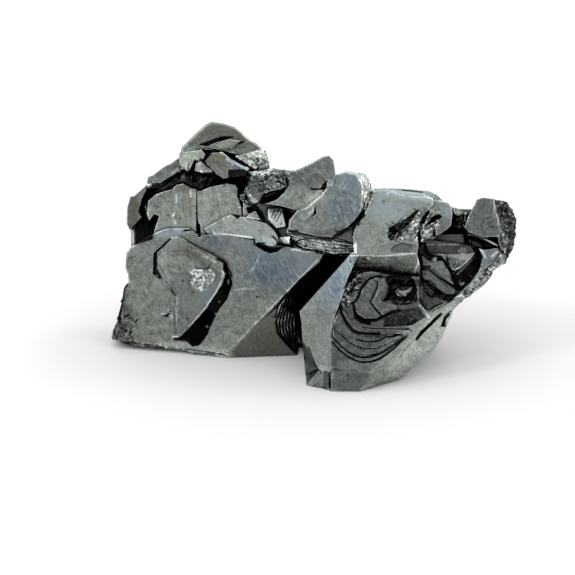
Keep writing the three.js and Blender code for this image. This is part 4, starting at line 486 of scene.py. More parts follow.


# Painted light and shade in patches, with some plain differences of tone between the plates:
# outlines in the growth frame, in mm. A number multiplies the tone inside its outline; below 1 it
# paints shade in gaps, hollows and cracks, above 1 it paints highlights. "side" takes only faces
# that turn away from the plates' common front, and "all" takes every face.
PAINTED_LIGHT_AND_SHADE = [
    # the slab, the bevelled plate on it and the painted shade in the gap beside it
    ("all", 0.95, [(-22, 18.3), (-12, 20.4), (1.3, 17.4), (0.8, 15.6), (-5, 10.4), (-8.5, 14.5),
        (-9, 17), (-20, 17)]),
    ("all", 0.6, [(-17.7, 6.8), (-16.6, 6.9), (-15.3, 8.7), (-13, 11.2), (-11.4, 14.6), (-14, 16),
        (-16, 17.9), (-18.6, 15), (-17, 11)]),
    ("side", 0.02, [(-18.4, 6.2), (-15.8, 5.2), (-14.3, 5.6), (-12.3, 8.8), (-10, 13.1),
        (-9.9, 14.2), (-10.9, 16.2), (-12, 16.8), (-12.2, 12.5), (-16, 7.2)]),
    ("all", 0.008, [(-13.65, 10.25), (-14.9, 8.9), (-15.8, 7.9), (-16.65, 7), (-17.3, 6.6),
        (-17.2, 6.3), (-16.1, 6.2), (-15.4, 5.5), (-14.6, 5.6), (-14.15, 6.1), (-13.5, 6.9),
        (-13.15, 7.9), (-12.65, 8.9), (-12.3, 9.6)]),
    ("all", 1.4, [(-17.6, 14.8), (-14.2, 15.2), (-13.9, 16), (-16.2, 17.6), (-18.6, 15.4)]),
    ("all", 0.8, [(-18.2, 17.2), (-17, 18.6), (-13.2, 16.6), (-12.6, 15.8), (-14, 15.7),
        (-16.2, 16.8)]),
    ("all", 1.13, [(-24.2, 12.8), (-23.4, 15.8), (-23, 18.2), (-20, 18.2), (-19.6, 14), (-19, 12)]),
    ("all", 1.45, [(-20, 5.4), (-14, 4), (-10.6, 3.8), (-10.8, 5.2), (-14, 5.7), (-20, 6.2)]),
    ("all", 0.45, [(-26, 6), (-22.6, 5.6), (-23.2, 9.7), (-24.2, 12.5), (-25.4, 10)]),
    ("side", 0.07, [(-10, 4.9), (-5, 10.3), (-1.9, 13.7), (0.5, 15.9), (1.3, 17.6), (4.6, 17.5),
        (-1.9, 10), (-1.6, 6), (-1.2, 3.9), (-3, 3.9)]),
    ("all", 0.46, [(-10.4, 3.8), (-10.3, 5.1), (-5, 10.45), (-3.2, 12.4), (-2.4, 8), (-2.2, 3.8)]),
    # the main crystal's left face, the ear, the lumps, the far left plate, the plates under the knob
    ("all", 0.68, [(-1.9, 10.4), (3.2, 10.4), (3.3, 3), (-1.2, 3), (-1.6, 6)]),
    ("all", 0.8, [(-5, 27.2), (-1.8, 27.6), (1.5, 29.8), (2.9, 28.9), (2.6, 27), (0.6, 25.4),
        (-3.6, 25.2)]),
    ("all", 0.4, [(-8.6, 26.6), (-8.5, 25), (-7, 23.6), (-6.4, 24.6), (-7, 27)]),
    ("all", 0.7, [(-23.9, 20), (-23.8, 24.5), (-21.6, 26), (-22.3, 22.5), (-22.2, 20)]),
    ("all", 0.72, [(-17.1, 30.4), (-15.4, 30), (-9.4, 29.6), (-9, 28), (-10.9, 26.3), (-13, 27.6),
        (-17.1, 28)]),
    # painted highlights on broken ground
    ("all", 3.6, FLANK),
    ("all", 2.6, LOBE_WALL),
    ("all", 3.6, LEDGE),
    ("all", 2.4, WINDOW),
    # the shoulder's upper edge, and the flutes and bevel of the foot
    ("all", 1.25, [(7.4, 25.5), (15, 25), (14.6, 23.6), (8.8, 24)]),
    ("all", 0.55, [(-1.6, 6.3), (-0.95, 5.6), (-0.5, 4.6), (-0.2, 3.75), (0.4, 2.65), (0.68, 2.3),
        (0.65, 0.3), (-0.35, 0.3), (-0.4, 2.2), (-1.3, 2.05)]),
    ("all", 0.62, [(0.68, 2.5), (1.05, 2.5), (1.05, 0.4), (0.68, 0.4)]),
    ("all", 0.3, [(1.05, 2.6), (1.8, 2.4), (1.8, 0.3), (1.05, 0.3)]),
    ("all", 0.62, [(1.8, 2.3), (2.3, 2.8), (2.95, 2.7), (2.9, 0.2), (1.8, 0.2)]),
    ("all", 0.8, [(-1.3, 2.05), (-0.4, 2.2), (-0.35, 0.4), (-1.3, 0.4)]),
    ("all", 0.53, [(2.95, 2.75), (7.2, 2.35), (5.5, -0.2), (2.9, -0.2)]),
    # the main crystal's front face, its apron and pit, and the ribs right of the pit
    ("all", 0.68, [(3.5, 4), (3.2, 10), (4.4, 14.8), (13.5, 14.6), (14, 10), (11.8, 9), (7, 4)]),
    ("all", 0.17, APRON),
    ("all", 0.1, PIT),
    ("all", 0.3, [(12.35, 13.95), (13.4, 13.9), (13.4, 13.1), (12.6, 13)]),
    ("all", 0.35, [(12.6, 12.8), (12.85, 12.6), (12.9, 11.2), (12.6, 11.4)]),
    ("all", 0.4, [(13.2, 9.9), (13.1, 15.4), (14.2, 15.7), (17.8, 12.8), (17.2, 11.4)]),
    # the shoulder's lower bevel
    ("all", 0.82, [(4.9, 16.9), (8.3, 16.75), (12.7, 17.15), (12.9, 16.4), (12.5, 14.5),
        (10.4, 14.7), (7.1, 15.5), (5, 15.4)]),
    ("all", 1.6, [(6.9, 15.9), (9, 15.6), (12.6, 15.3), (12.6, 14.5), (10.4, 14.6), (7, 15.2)]),
    ("all", 0.5, [(4.9, 16.8), (7.1, 16.8), (7.1, 16), (4.9, 16)]),
    # the basin's floor and hillock, and the shoulder's lower panels
    ("all", 0.75, [(3.3, 8), (3.2, 10.8), (4.4, 14.8), (9, 14.6), (9.2, 11), (8.6, 9.2)]),
    ("all", 1.7, [(4.8, 11), (5.6, 12), (5.8, 12.7), (6.7, 13.8), (8, 14.3), (8.8, 14.1),
        (8.9, 13.2), (8.2, 11.5), (8.4, 11), (9.2, 10.2), (8.2, 9.4), (6.4, 9), (5.2, 9.4),
        (4.9, 10.2)]),
    ("all", 1.7, BASIN_EDGE),
    ("all", 0.75, [(4.7, 17.1), (9.5, 18.8), (12.9, 18.4), (12.9, 17.1), (8, 16.8), (5, 16.8)]),
    ("all", 0.55, [(9.5, 17.3), (9.7, 18), (10.6, 18.5), (12.5, 18.3), (12.6, 17.3)]),
    # the right flank, the ribbed oval, the shoulder's end, and the left face's upper part
    ("all", 1.45, [(8.6, 2), (13, 8), (17.4, 11.4), (18.4, 9.4), (13, 2)]),
    ("all", 0.1, RIBBED_OVAL),
    ("all", 1.4, [(15.1, 24.2), (17.2, 23.2), (17.2, 21.4), (16, 21.8), (15.2, 22.8)]),
    ("all", 0.8, [(-0.2, 13.8), (2.2, 16.2), (3, 15), (3.1, 10.6), (-1.8, 10.6)]),
    # painted shade on the beak, the black slope and in the gaps round them
    ("all", 0.22, [(13.7, 19.1), (18, 18.5), (19.5, 18.1), (20.1, 17.2), (14.2, 17.2)]),
    ("all", 0.04, [(17.3, 13.3), (17, 14.6), (18.2, 15.3), (19.4, 16.5), (20, 17.3), (20.5, 17.7),
        (20.8, 15.9), (20.3, 15), (19.4, 13.7), (18.2, 12.5), (17.6, 12.5)]),
    ("all", 0.9, [(17.25, 22.9), (17.3, 22.2), (17.1, 20.7), (16.4, 20.1), (15.9, 19.2),
        (18.9, 19.3), (19.1, 20), (18.7, 20.6), (19.05, 21.6), (18.7, 22.2), (17.9, 21.9)]),
    ("all", 0.06, [(19.2, 19.6), (21, 19.15), (23, 19.25), (22.9, 18.2), (20.6, 18.4), (19.1, 19)]),
    ("all", 0.42, HEAD_SIDE),
    # painted shade in the hollows between the upper plates and under the knob
    ("all", 0.2, [(-16.1, 27.3), (-15.1, 27.5), (-12.9, 27.3), (-12.3, 27), (-11.5, 26.5),
        (-10.2, 26.6), (-8.7, 25.6), (-9.5, 25.2), (-10, 25.95), (-11, 26.1), (-13.2, 25.65),
        (-14.2, 25.15), (-14.9, 25.25), (-16.5, 26.05)]),
    ("all", 0.05, [(-22.8, 18.2), (-22.6, 20.9), (-21.8, 21.8), (-22.2, 22.5), (-21.8, 24),
        (-21.1, 25.4), (-21.1, 25.9), (-19.4, 26), (-18, 26.9), (-17.2, 27.5), (-16.5, 26.1),
        (-17.4, 25.85), (-17.9, 25.35), (-19, 25.05), (-20, 24.65), (-20.95, 23.8), (-21.15, 22.2),
        (-20.8, 21.3), (-20.2, 22.1), (-19.6, 21.9), (-20.2, 20), (-20.3, 19)]),
    ("all", 0.05, [(-10.9, 27.7), (-8.2, 27.8), (-7.9, 27), (-8.5, 25.5), (-9.8, 26),
        (-10.9, 26.3)]),
    ("all", 0.05, [(-7.1, 18.1), (-6.3, 17.5), (-5.6, 17.2), (-4.7, 17.4), (-4, 18)]),
    ("all", 0.04, [(-6.9, 23.4), (-6.1, 24.3), (-4.9, 24.9), (-3.8, 25.5), (-3.7, 24.9),
        (-4.8, 23.9), (-6, 23.45)]),
    ("all", 0.06, [(-8.6, 22.9), (-7.6, 23.3), (-7, 23), (-6.2, 21.3), (-6.8, 21.4), (-7.4, 22.5),
        (-8.4, 22.2)]),
    ("all", 0.06, [(-4.1, 22.5), (-3.3, 22.4), (-2.7, 22.2), (-3.6, 21.2)]),
    # painted shade in the shoulder's fissures and the knob's groove, and a dark crumb
    ("side", 0.75, [(9.2, 18.8), (9, 20.3), (10.5, 21), (12.2, 22.3), (13.2, 22.6), (12.1, 21.1),
        (10.8, 19.9), (10.3, 18.8)]),
    ("side", 0.05, [(-14.6, 30.7), (-13.5, 31.3), (-12.3, 31.75), (-10.1, 31.9), (-11.4, 31.3),
        (-13.4, 30.5)]),
    ("all", 0.06, [(-21.2, 25.3), (-21.1, 26), (-20.4, 26), (-20, 25.3), (-20.4, 25)]),
    # painted highlights on small plates and crystals that catch the light
    ("all", 1.3, [(-14.9, 27.2), (-14.7, 28.6), (-13.6, 28.4), (-13.2, 27.6)]),
    ("all", 1.3, [(-16.6, 27.9), (-16.4, 29.6), (-14.2, 29.2), (-14.4, 28)]),
    ("all", 1.4, [(-6.6, 19), (-4.4, 19.2), (-4, 18.4), (-5.2, 17.7), (-6.8, 18.2)]),
    ("all", 1.2, [(-1.4, 27.8), (1.4, 29.8), (2.8, 28.8), (2.4, 27.2)]),
    ("all", 1.15, [(-12.5, 24.6), (-8, 24.6), (-7.6, 21), (-12.5, 20.6)]),
    ("all", 1.15, [(-16.8, 24.9), (-13.6, 24.9), (-13.6, 20.8), (-16.8, 20.6)]),
    # the third plate, the wing, the upper plates, the lobe and the bright crystal between them
    ("all", 0.75, [(-21, 19.8), (-20.8, 24.4), (-17.8, 25.4), (-17.8, 19.8)]),
    ("all", 1.35, [(-3.3, 25.4), (0.6, 25.4), (1.2, 24.6), (-0.8, 22.6), (-3, 22.9), (-5, 23.6)]),
    ("all", 1.6, [(-17, 30.2), (-14.9, 30.2), (-13.2, 29.8), (-14, 28.6), (-16, 27.6),
        (-17, 28.2)]),
    ("all", 1.3, [(-22.6, 25.3), (-19, 25), (-7, 26), (-6.9, 22), (-3.7, 18.4), (-12.5, 19.9),
        (-20, 19.5)]),
    ("all", 1.4, [(-4, 20.3), (5, 20.3), (6.3, 24), (5.5, 27.8), (2, 27.6), (-1, 23.2)]),
    ("all", 1.7, [(-5.9, 22.8), (-4, 22.8), (-3.7, 20.5), (-4.8, 20.4), (-5.8, 21.5)]),
]
# Inside these the tone comes from the lines and outlines, and hardly from the painted shade of
# closing in.
PLAIN = [
    [(4.9, 16.9), (12.6, 17.1), (12.8, 15.6), (12.2, 14.7), (10.4, 14.7), (7.1, 15.6), (5, 15.4)],
    PIT,
    RIBBED_OVAL,
    [(9, 18.7), (8.9, 20.3), (10.5, 21.2), (12.2, 22.4), (13.2, 22.6), (12.1, 21), (10.8, 19.8),
        (10.4, 18.7)],
    [(17.4, 22), (17.2, 20.6), (18.6, 20.2), (19, 21.5), (18.6, 22.2)],
    [(-19.6, 25), (-19.5, 25.4), (-16.2, 27.4), (-15, 27.6), (-13, 27), (-13, 25.7), (-14.5, 25.2),
        (-17.4, 25.7)],
    [(-5.2, 9), (-4.4, 11.2), (-2, 13.4), (1.8, 16.9), (2.6, 16.6), (-1.8, 10.5), (-1.9, 4.6),
        (-2.6, 4.6)],
]
# Ovals of blue tarnish, of painted pale bluish sheen and of brown stain: middle, two radii, turn in
# degrees.
BLUED = [(-5.4, 15, 4.2, 2.3, -8), (-12.4, 18.5, 1.4, 1, 0), (3.6, 23.4, 1.9, 2.9, -15),
    (2.6, 13.5, 1.3, 3.4, -25), (-9.8, 28.4, 1.6, 0.6, -35)]
PAINTED_SHEEN_OVALS = [(-3.5, 16, 6.5, 2.4, -25), (-13.6, 12, 1.3, 2.3, -35), (2.8, 14.4, 1, 2.6, -35),
    (4.2, 16, 0.8, 2, -35), (11, 24.6, 4.5, 0.8, -3), (9, 22.3, 2.4, 1.2, 0),
    (4.6, 26.3, 2, 1.4, -20), (-16.8, 20.1, 3.4, 0.9, 8), (16.3, 22.6, 0.8, 1.6, 0),
    (21.6, 16.8, 1.1, 1.5, 20)]
RUSTY = [(-22.6, 22.3, 1.1, 2.6, 0), (-24, 8, 1.3, 1.9, 0), (-15.4, 17.4, 1.8, 0.7, -27),
    (-13.2, 16, 1, 0.6, -30), (-14.2, 13.9, 1.2, 0.9, 0), (-9.4, 4.7, 1.8, 1.1, 0),
    (-2.5, 4.7, 1, 0.9, 0), (-22, 6.2, 2.4, 0.7, -8), (-14.3, 17.5, 2.8, 0.5, -27),
    (-6, 6.5, 3.2, 2.2, 45), (-11, 32.2, 4.2, 1.3, -10), (-7, 29, 2, 1.4, 0),
    (-12, 29, 2.4, 1, -20), (-16, 22, 0.7, 3.4, 0), (14, 20.5, 2.2, 1.6, 0)]


def reach_of(line, x, y):
    """Distance of points from a line of segments, capped at 1 mm."""
    far = np.ones(len(x))
    xs, ys = np.array(line).T
    near = (x > xs.min() - 1) & (x < xs.max() + 1) & (y > ys.min() - 1) & (y < ys.max() + 1)
    px, py = x[near], y[near]
    best = np.ones(len(px))
    for (ax, ay), (bx, by) in zip(line, line[1:]):
        dx, dy = bx - ax, by - ay
        share = np.clip(((px - ax) * dx + (py - ay) * dy) / (dx * dx + dy * dy), 0, 1)
        best = np.minimum(best, np.hypot(px - ax - share * dx, py - ay - share * dy))
    far[near] = best
    return far


# Facets beside the lines, and along the rims of very dark or bright outlines, are divided finely,
# so that the lines stay crisp.
LINE_FIELD, FINE_FIELD = 0.25, 0.12        # mm, the edges that are short enough
FINE = [(8, 15.6, 10, 15.1), (-5.2, 0.9, 4.9, 15.2)]   # mm, x and y from and to: pit, sheets
DARK, BRIGHT = 0.45, 1.9                   # tones beyond which an outline's rim is divided too
RIM_HALF = 0.03                            # mm, half its width
SEEN = 0.35                                # cosine from the growth frame's z that still faces front
NEAR = 0.35                                # of an edge's length: lines this near divide it
OUT = stand(0, 0, 1) - stand(0, 0, 0)
OUT.normalize()
RIMS = [outline + outline[:1] for _, tone, outline in PAINTED_LIGHT_AND_SHADE if tone < DARK or tone > BRIGHT]
for _ in range(4):
    cut.normal_update()
    edges = [
        e for e in cut.edges
        if e.calc_length() * 1000 > FINE_FIELD
        and max(f.normal.dot(OUT) for f in e.link_faces) > SEEN
    ]
    x, y, z = lie(np.array([(e.verts[0].co + e.verts[1].co) / 2 for e in edges])).T
    lengths = np.array([e.calc_length() for e in edges]) * 1000
    fine = np.any([(x > a) & (x < b) & (y > c) & (y < d) for a, b, c, d in FINE], 0)
    reach = np.full(len(x), np.inf)
    for _, half, group in SHADE_AND_HIGHLIGHT_LINES + [(None, RIM_HALF, RIMS)]:
        for line in group:
            reach = np.minimum(reach, reach_of(line, x, y) - half)
    long = lengths > np.where(fine, FINE_FIELD, LINE_FIELD)
    crossed = (reach < lengths * NEAR) & (z > WORKED_TO) & long
    chosen = [e for e, hit in zip(edges, crossed) if hit]
    bmesh.ops.subdivide_edges(cut, edges=chosen, cuts=1)
    bmesh.ops.triangulate(cut, faces=[f for f in cut.faces if len(f.verts) > 3])

# Broken ground is divided down to the size of its grains.
for _ in range(3):
    cut.edges.ensure_lookup_table()
    middles = np.array([(e.verts[0].co + e.verts[1].co) / 2 for e in cut.edges])
    lengths = np.array([e.calc_length() for e in cut.edges])
    coarse = np.nonzero((grit_at(middles) > 0) & (lengths > GRAIN / 1000))[0]
    if not len(coarse):
        break
    bmesh.ops.subdivide_edges(cut, edges=[cut.edges[i] for i in coarse], cuts=1)
    bmesh.ops.triangulate(cut, faces=[f for f in cut.faces if len(f.verts) > 3])

# Pairs of facets that lie folded on each other go, and slivers are turned into proper facets by
# turning their longest edge, so that the surface is closed. The turning leaves new pairs, which
# go in the second round.
SLIVER = 1e-13                             # m2
for turns in (6, 0):
    twins = {}
    for face in cut.faces:
        twins.setdefault(frozenset(face.verts), []).append(face)
    folded = [face for same in twins.values() for face in same[:len(same) // 2 * 2]]
    bmesh.ops.delete(cut, geom=folded, context="FACES_ONLY")
    bmesh.ops.delete(cut, geom=[e for e in cut.edges if not e.link_faces], context="EDGES")
    bmesh.ops.delete(cut, geom=[v for v in cut.verts if not v.link_edges], context="VERTS")
    for _ in range(turns):
        for face in [f for f in cut.faces if f.calc_area() < SLIVER]:
            if face.is_valid:
                longest = max(face.edges, key=lambda e: e.calc_length())
                if len(longest.link_faces) == 2:
                    bmesh.utils.edge_rotate(longest, True)

# The grains: points move in and out in lumps, and each cell of the ground leans its own way.
# A rise in mm is divided by LUMP_PART and GRAIN_PART to give the two shifts in m.
LUMPS, CELLS = 1100, 3200                  # to the metre
LUMP_PART, GRAIN_PART = 700, 1100
cut.normal_update()
cut.verts.ensure_lookup_table()
rises = grit_at(np.array([v.co for v in cut.verts]))
lowest, highest = cad_box
for vert, rise in zip(cut.verts, rises):
    if rise > 0:
        grain = noise.cell_vector(vert.co * CELLS) - Vector((0.5, 0.5, 0.5))
        lump = noise.noise(vert.co * LUMPS)
        moved = vert.co + vert.normal * (lump * rise / LUMP_PART) + grain * (rise / GRAIN_PART)
        vert.co = [min(max(c, a), b) for c, a, b in zip(moved, lowest, highest)]
skin_mesh = bpy.data.meshes.new("hematite_skin")
cut.to_mesh(skin_mesh)
cut.free()
skin_mesh.update()
skin = bpy.data.objects.new("hematite_skin", skin_mesh)
bpy.context.collection.objects.link(skin)
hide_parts("hematite_crystals")
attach(skin, "root")

# ---------------------------------------------------------------- where the finish changes
# Each corner of a facet gets its tone with painted light and shade, its tarnish, painted sheen,
# stain and grit from the lines, outlines and ovals above.
# Faces that turn to the back get a darker tone with slow waves of blue tarnish and brown stains.
def oval(x, y, cx, cy, rx, ry, turn):
    """1 within half of an oval's radii, fading to 0 at one and a half of them."""
    a = math.radians(turn)
    u = ((x - cx) * math.cos(a) + (y - cy) * math.sin(a)) / rx
    w = ((y - cy) * math.cos(a) - (x - cx) * math.sin(a)) / ry
    return np.clip(1.5 - np.sqrt(u * u + w * w), 0, 1)


corner_vert = np.zeros(len(skin_mesh.loops), np.int32)
skin_mesh.loops.foreach_get("vertex_index", corner_vert)
places = np.zeros(len(skin_mesh.vertices) * 3)
skin_mesh.vertices.foreach_get("co", places)
places = places.reshape(-1, 3)
facings = np.zeros(len(skin_mesh.polygons) * 3)
skin_mesh.polygons.foreach_get("normal", facings)
facings = facings.reshape(-1, 3)
corner_face = np.repeat(np.arange(len(facings)), 3)
centres = places[corner_vert].reshape(-1, 3, 3).mean(1)[corner_face]
inward = centres - places[corner_vert]
inward /= np.maximum(np.linalg.norm(inward, axis=1, keepdims=True), 1e-9)
INSET = 5e-5                               # m toward a facet's middle, where its corner is read
x, y, z = lie(places[corner_vert] + inward * INSET).T
turned = facings[corner_face]
frontal = turned[:, 2] * math.cos(LEAN) - turned[:, 1] * math.sin(LEAN)
AWAY, DEEP = -0.2, -11.5                   # facing less to the front or lying deeper (mm) is back
SIDEWAYS = 0.9                             # facing less to the front than this is a side face
BACK_TONE, BACK_SWING = 0.52, 0.1
SOFT = 0.05                                # mm on both sides of a line's edge over which it fades
GRIT_GAIN = 12                             # full grit from a rise of 1/12 mm
PLAIN_SHARE = 0.9                          # how much of the painted shade of closing in PLAIN takes away
front = (frontal > AWAY) & (z > DEEP)
waves = np.sin(0.7 * x + 1.4 * np.sin(0.5 * y + 0.3 * z))
waves = waves * np.sin(0.6 * y + 1.2 * np.sin(0.45 * x - 0.4 * z))
shade = np.where(front, 1, BACK_TONE + BACK_SWING * waves)
for kind, tone, outline in PAINTED_LIGHT_AND_SHADE:
    chosen = inside(outline, x, y) & front & ((frontal < SIDEWAYS) | (kind == "all"))
    shade[chosen] *= tone
for tone, half, group in SHADE_AND_HIGHLIGHT_LINES:
    for line in group:
        share = np.clip((half + SOFT - reach_of(line, x, y)) / (2 * SOFT), 0, 1) * front
        shade = shade * (1 - share) + tone * share
blued = np.where(front, np.max([oval(x, y, *o) for o in BLUED], 0), np.clip(waves - 0.3, 0, 1))
painted_sheen = np.max([oval(x, y, *o) for o in PAINTED_SHEEN_OVALS], 0) * front
rusty = np.where(front, np.max([oval(x, y, *o) for o in RUSTY], 0), np.clip(-waves - 0.2, 0, 1))
grit = np.clip(grit_at(places) * GRIT_GAIN, 0, 1)[corner_vert]
plain = np.max([inside(o, x, y) for o in PLAIN], 0) * front * PLAIN_SHARE
for name, values in (
    ("plain", plain), ("shade", shade), ("painted_sheen", painted_sheen),
    ("blued", blued), ("rusty", rusty), ("grit", grit),
):
    layer = skin_mesh.attributes.new(name, "FLOAT", "CORNER")
    layer.data.foreach_set("value", values.astype(np.float32))

# ---------------------------------------------------------------- the finish of hematite
# Steel-grey metallic faces with a cloudy, scratched and pitted polish, painted highlights along the
# edges, a blue tarnish, a painted pale sheen and brown stains in places, glinting broken ground, and
# black painted shade where crystals close in.
STEEL_DARK, STEEL_PALE = (0.125, 0.137, 0.122, 1), (0.44, 0.475, 0.44, 1)
FLECK_DARK, FLECK_PALE = (0.07, 0.075, 0.068, 1), (0.6, 0.63, 0.6, 1)
PAINTED_SHEEN_GREY, TARNISH_BLUE = (0.31, 0.36, 0.375, 1), (0.115, 0.17, 0.24, 1)
SCRATCH_GREY, STAIN_BROWN = (0.5, 0.56, 0.58, 1), (0.2, 0.18, 0.11, 1)
POCK_BLACK, EDGE_HIGHLIGHT_WHITE = (0.03, 0.03, 0.028, 1), (0.72, 0.8, 0.82, 1)
# Patterns to the metre.
WIDE, MOTTLED, SPECKLED = 230.0, 1300.0, 5200.0
BRUSHED, SCRATCHED, POCKED, CHIPPED = 1500.0, 1700.0, 700.0, 3600.0
BRUSH_TURN, SCRATCH_TURN = (0, 0, -0.5), (0, 0, -0.45)          # radians
BRUSH_STRETCH, SCRATCH_STRETCH = (3.4, 0.7, 1), (4.5, 0.45, 1)
ROUNDED_EDGE_RADIUS = 0.00017                      # m, of the edges' rounding, and the width of the painted highlights along them
CLOSE, DEEP_IN = 0.0004, 0.003             # m, how far off the stone that shuts a spot in may be
hematite = bpy.data.materials.new("hematite")
hematite.use_nodes = True
skin_mesh.materials.append(hematite)
web = hematite.node_tree
coat = web.nodes["Principled BSDF"]
coat.inputs["Metallic"].default_value = 1


def wire(made, pairs):
    for socket, value in pairs:
        if isinstance(value, bpy.types.NodeSocket):
            web.links.new(value, socket)
        else:
            socket.default_value = value
    return made


def calc(how, a, b=0.0, clamp=False):
    made = web.nodes.new("ShaderNodeMath")
    made.operation, made.use_clamp = how, clamp
    return wire(made, zip(made.inputs, (a, b))).outputs[0]


def spread(value, low, high, to_low=0.0, to_high=1.0):
    made = web.nodes.new("ShaderNodeMapRange")
    wire(made, zip(made.inputs, (value, low, high, to_low, to_high)))
    return made.outputs["Result"]


def tint(share, a, b):
    made = web.nodes.new("ShaderNodeMix")
    made.data_type = "RGBA"
    wire(made, ((made.inputs["Factor"], share), (made.inputs[6], a), (made.inputs[7], b)))
    return made.outputs[2]


def vec(how, a, b=(0, 0, 0), scale=1.0):
    made = web.nodes.new("ShaderNodeVectorMath")
    made.operation = how
    wire(made, ((made.inputs[0], a), (made.inputs[1], b), (made.inputs[3], scale)))
    return made.outputs["Value" if how == "DOT_PRODUCT" else "Vector"]


def turned_to(vector, rotation=(0, 0, 0), scale=(1, 1, 1)):
    made = web.nodes.new("ShaderNodeMapping")
    made.inputs["Rotation"].default_value = rotation
    made.inputs["Scale"].default_value = scale
    return wire(made, ((made.inputs["Vector"], vector),)).outputs["Vector"]


def clouds(vector, scale, detail=3.0, rough=0.6):
    made = web.nodes.new("ShaderNodeTexNoise")
    wire(made, ((made.inputs["Vector"], vector), (made.inputs["Scale"], scale),
                (made.inputs["Detail"], detail), (made.inputs["Roughness"], rough)))
    return made.outputs["Fac"]


def attribute(name):
    made = web.nodes.new("ShaderNodeAttribute")
    made.attribute_name = name
    return made.outputs["Fac"]


def nearness(distance, power):
    made = web.nodes.new("ShaderNodeAmbientOcclusion")
    made.samples, made.only_local = 6, True
    made.inputs["Distance"].default_value = distance
    return calc("POWER", made.outputs["AO"], power)


own = web.nodes.new("ShaderNodeTexCoord").outputs["Object"]
grown = turned_to(own, (-LEAN, 0, 0))
grit_in = attribute("grit")
wide = clouds(grown, WIDE)
mottle = clouds(grown, MOTTLED, 4.0, 0.65)
speck = clouds(grown, SPECKLED, 2.0)
brushed = clouds(turned_to(turned_to(grown, BRUSH_TURN), scale=BRUSH_STRETCH), BRUSHED, 3.0, 0.7)
cells = web.nodes.new("ShaderNodeTexVoronoi")
wire(cells, ((cells.inputs["Vector"], grown), (cells.inputs["Scale"], POCKED)))
pocks = spread(cells.outputs["Distance"], 0.06, 0.2, 1.0, 0.0)
pocks = calc("MULTIPLY", pocks, spread(wide, 0.48, 0.6))
chips = web.nodes.new("ShaderNodeTexVoronoi")
wire(chips, ((chips.inputs["Vector"], grown), (chips.inputs["Scale"], CHIPPED)))

bevel = web.nodes.new("ShaderNodeBevel")
bevel.samples = 6
bevel.inputs["Radius"].default_value = ROUNDED_EDGE_RADIUS
true_normal = web.nodes.new("ShaderNodeNewGeometry").outputs["True Normal"]
# painted highlight: a pale colour where the rounded edge's normal turns from the facet's
edge_highlight = spread(vec("DOT_PRODUCT", bevel.outputs["Normal"], true_normal), 0.995, 0.85)
# How closed in a spot is, by ambient occlusion; below, it darkens colour and edge tint as painted
# shade in crevices.
close = nearness(CLOSE, 2.2)
deep = nearness(DEEP_IN, 1.4)
open_in = calc("MULTIPLY", spread(close, 0.1, 0.75, 0.06, 1.0), spread(deep, 0.05, 0.5, 0.15, 1.0))
edge_highlight = calc("MULTIPLY", calc("MULTIPLY", edge_highlight, open_in), spread(mottle, 0.42, 0.6, 0.15, 1.0))

# The steel's clouds and flecks, then tarnish, painted sheen, scratches, stains, pocks and painted
# highlights along the edges on it.
tone = calc("ADD", calc("MULTIPLY", mottle, 0.5), calc("MULTIPLY", brushed, 0.35))
tone = calc("ADD", tone, calc("MULTIPLY", wide, 0.3))
steel = tint(spread(tone, 0.4, 0.78), STEEL_DARK, STEEL_PALE)
steel = tint(spread(speck, 0.5, 0.8, 0.0, 0.4), steel, FLECK_PALE)
steel = tint(spread(speck, 0.26, 0.4, 0.55, 0.0), steel, FLECK_DARK)
# painted sheen: a pale bluish grey where the faces would mirror the bright tent
sheen_share = calc("MULTIPLY", attribute("painted_sheen"), spread(tone, 0.4, 0.6, 0.4, 1.0))
steel = tint(sheen_share, steel, PAINTED_SHEEN_GREY)
tarnished = calc("MULTIPLY", attribute("blued"), spread(tone, 0.45, 0.62, 1.0, 0.4))
steel = tint(tarnished, steel, TARNISH_BLUE)
streaks = turned_to(turned_to(grown, SCRATCH_TURN), scale=SCRATCH_STRETCH)
scratches = clouds(streaks, SCRATCHED, 2.0, 0.5)
bare = calc("MAXIMUM", attribute("blued"), calc("MULTIPLY", attribute("painted_sheen"), 0.7))
scratched = calc("MULTIPLY", bare, spread(scratches, 0.56, 0.68, 0.0, 0.75))
steel = tint(scratched, steel, SCRATCH_GREY)
stained = calc("MULTIPLY", attribute("rusty"), spread(mottle, 0.45, 0.62, 0.1, 0.8))
steel = tint(stained, steel, STAIN_BROWN)
steel = tint(calc("MULTIPLY", pocks, 0.8), steel, POCK_BLACK)
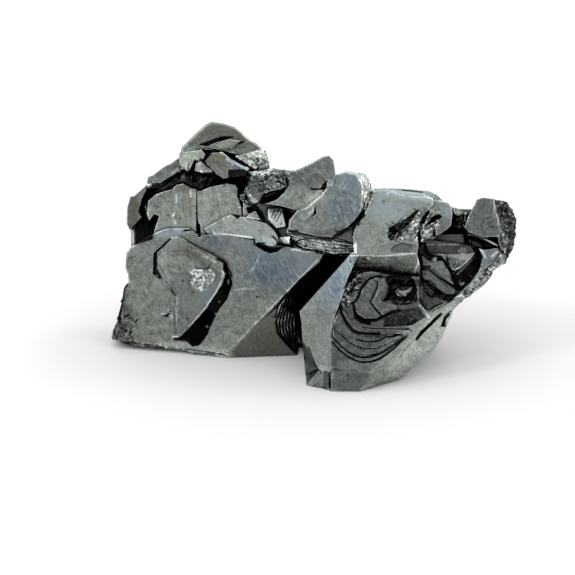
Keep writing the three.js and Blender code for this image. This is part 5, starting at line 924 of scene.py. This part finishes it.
steel = tint(calc("MULTIPLY", edge_highlight, 0.95), steel, EDGE_HIGHLIGHT_WHITE)

# On broken ground each chip has its own grey, and its own lean further down.
chip_tone = web.nodes.new("ShaderNodeSeparateColor")
wire(chip_tone, ((chip_tone.inputs[0], chips.outputs["Color"]),))
chip_grey = spread(calc("POWER", chip_tone.outputs[0], 2.2), 0.0, 1.0, 0.02, 0.9)
flecks = web.nodes.new("ShaderNodeCombineColor")
wire(flecks, ((flecks.inputs[0], calc("MULTIPLY", chip_grey, 0.93)),
              (flecks.inputs[1], chip_grey),
              (flecks.inputs[2], calc("MULTIPLY", chip_grey, 0.96))))
steel = tint(calc("MULTIPLY", grit_in, 0.7), steel, flecks.outputs[0])

# Painted light and shade: the tones of the lines and outlines, and painted shade where crystals
# close in, scale the metal's colour and its edge tint.
shade_in = attribute("shade")
open_or_plain = calc("MAXIMUM", open_in, attribute("plain"))
steel_with_painted_light = vec("SCALE", steel, scale=calc("MULTIPLY", shade_in, open_or_plain))
web.links.new(steel_with_painted_light, coat.inputs["Base Color"])
shaded_specular_tint = calc("MULTIPLY", shade_in, open_or_plain, True)
web.links.new(shaded_specular_tint, coat.inputs["Specular Tint"])
web.links.new(spread(mottle, 0.3, 0.7, 0.16, 0.34), coat.inputs["Roughness"])

relief = calc("ADD", calc("MULTIPLY", mottle, 0.5), calc("MULTIPLY", brushed, 0.3))
relief = calc("ADD", relief, calc("MULTIPLY", speck, 0.15))
relief = calc("ADD", relief, calc("MULTIPLY", pocks, -0.5))
lean = vec("SUBTRACT", chips.outputs["Color"], (0.5, 0.5, 0.5))
lean = vec("SCALE", lean, scale=calc("MULTIPLY", grit_in, 0.9))
broken = vec("NORMALIZE", vec("ADD", bevel.outputs["Normal"], lean))
bump = web.nodes.new("ShaderNodeBump")
wire(bump, ((bump.inputs["Height"], relief), (bump.inputs["Strength"], 0.6),
            (bump.inputs["Distance"], 0.0001), (bump.inputs["Normal"], broken)))
web.links.new(bump.outputs["Normal"], coat.inputs["Normal"])
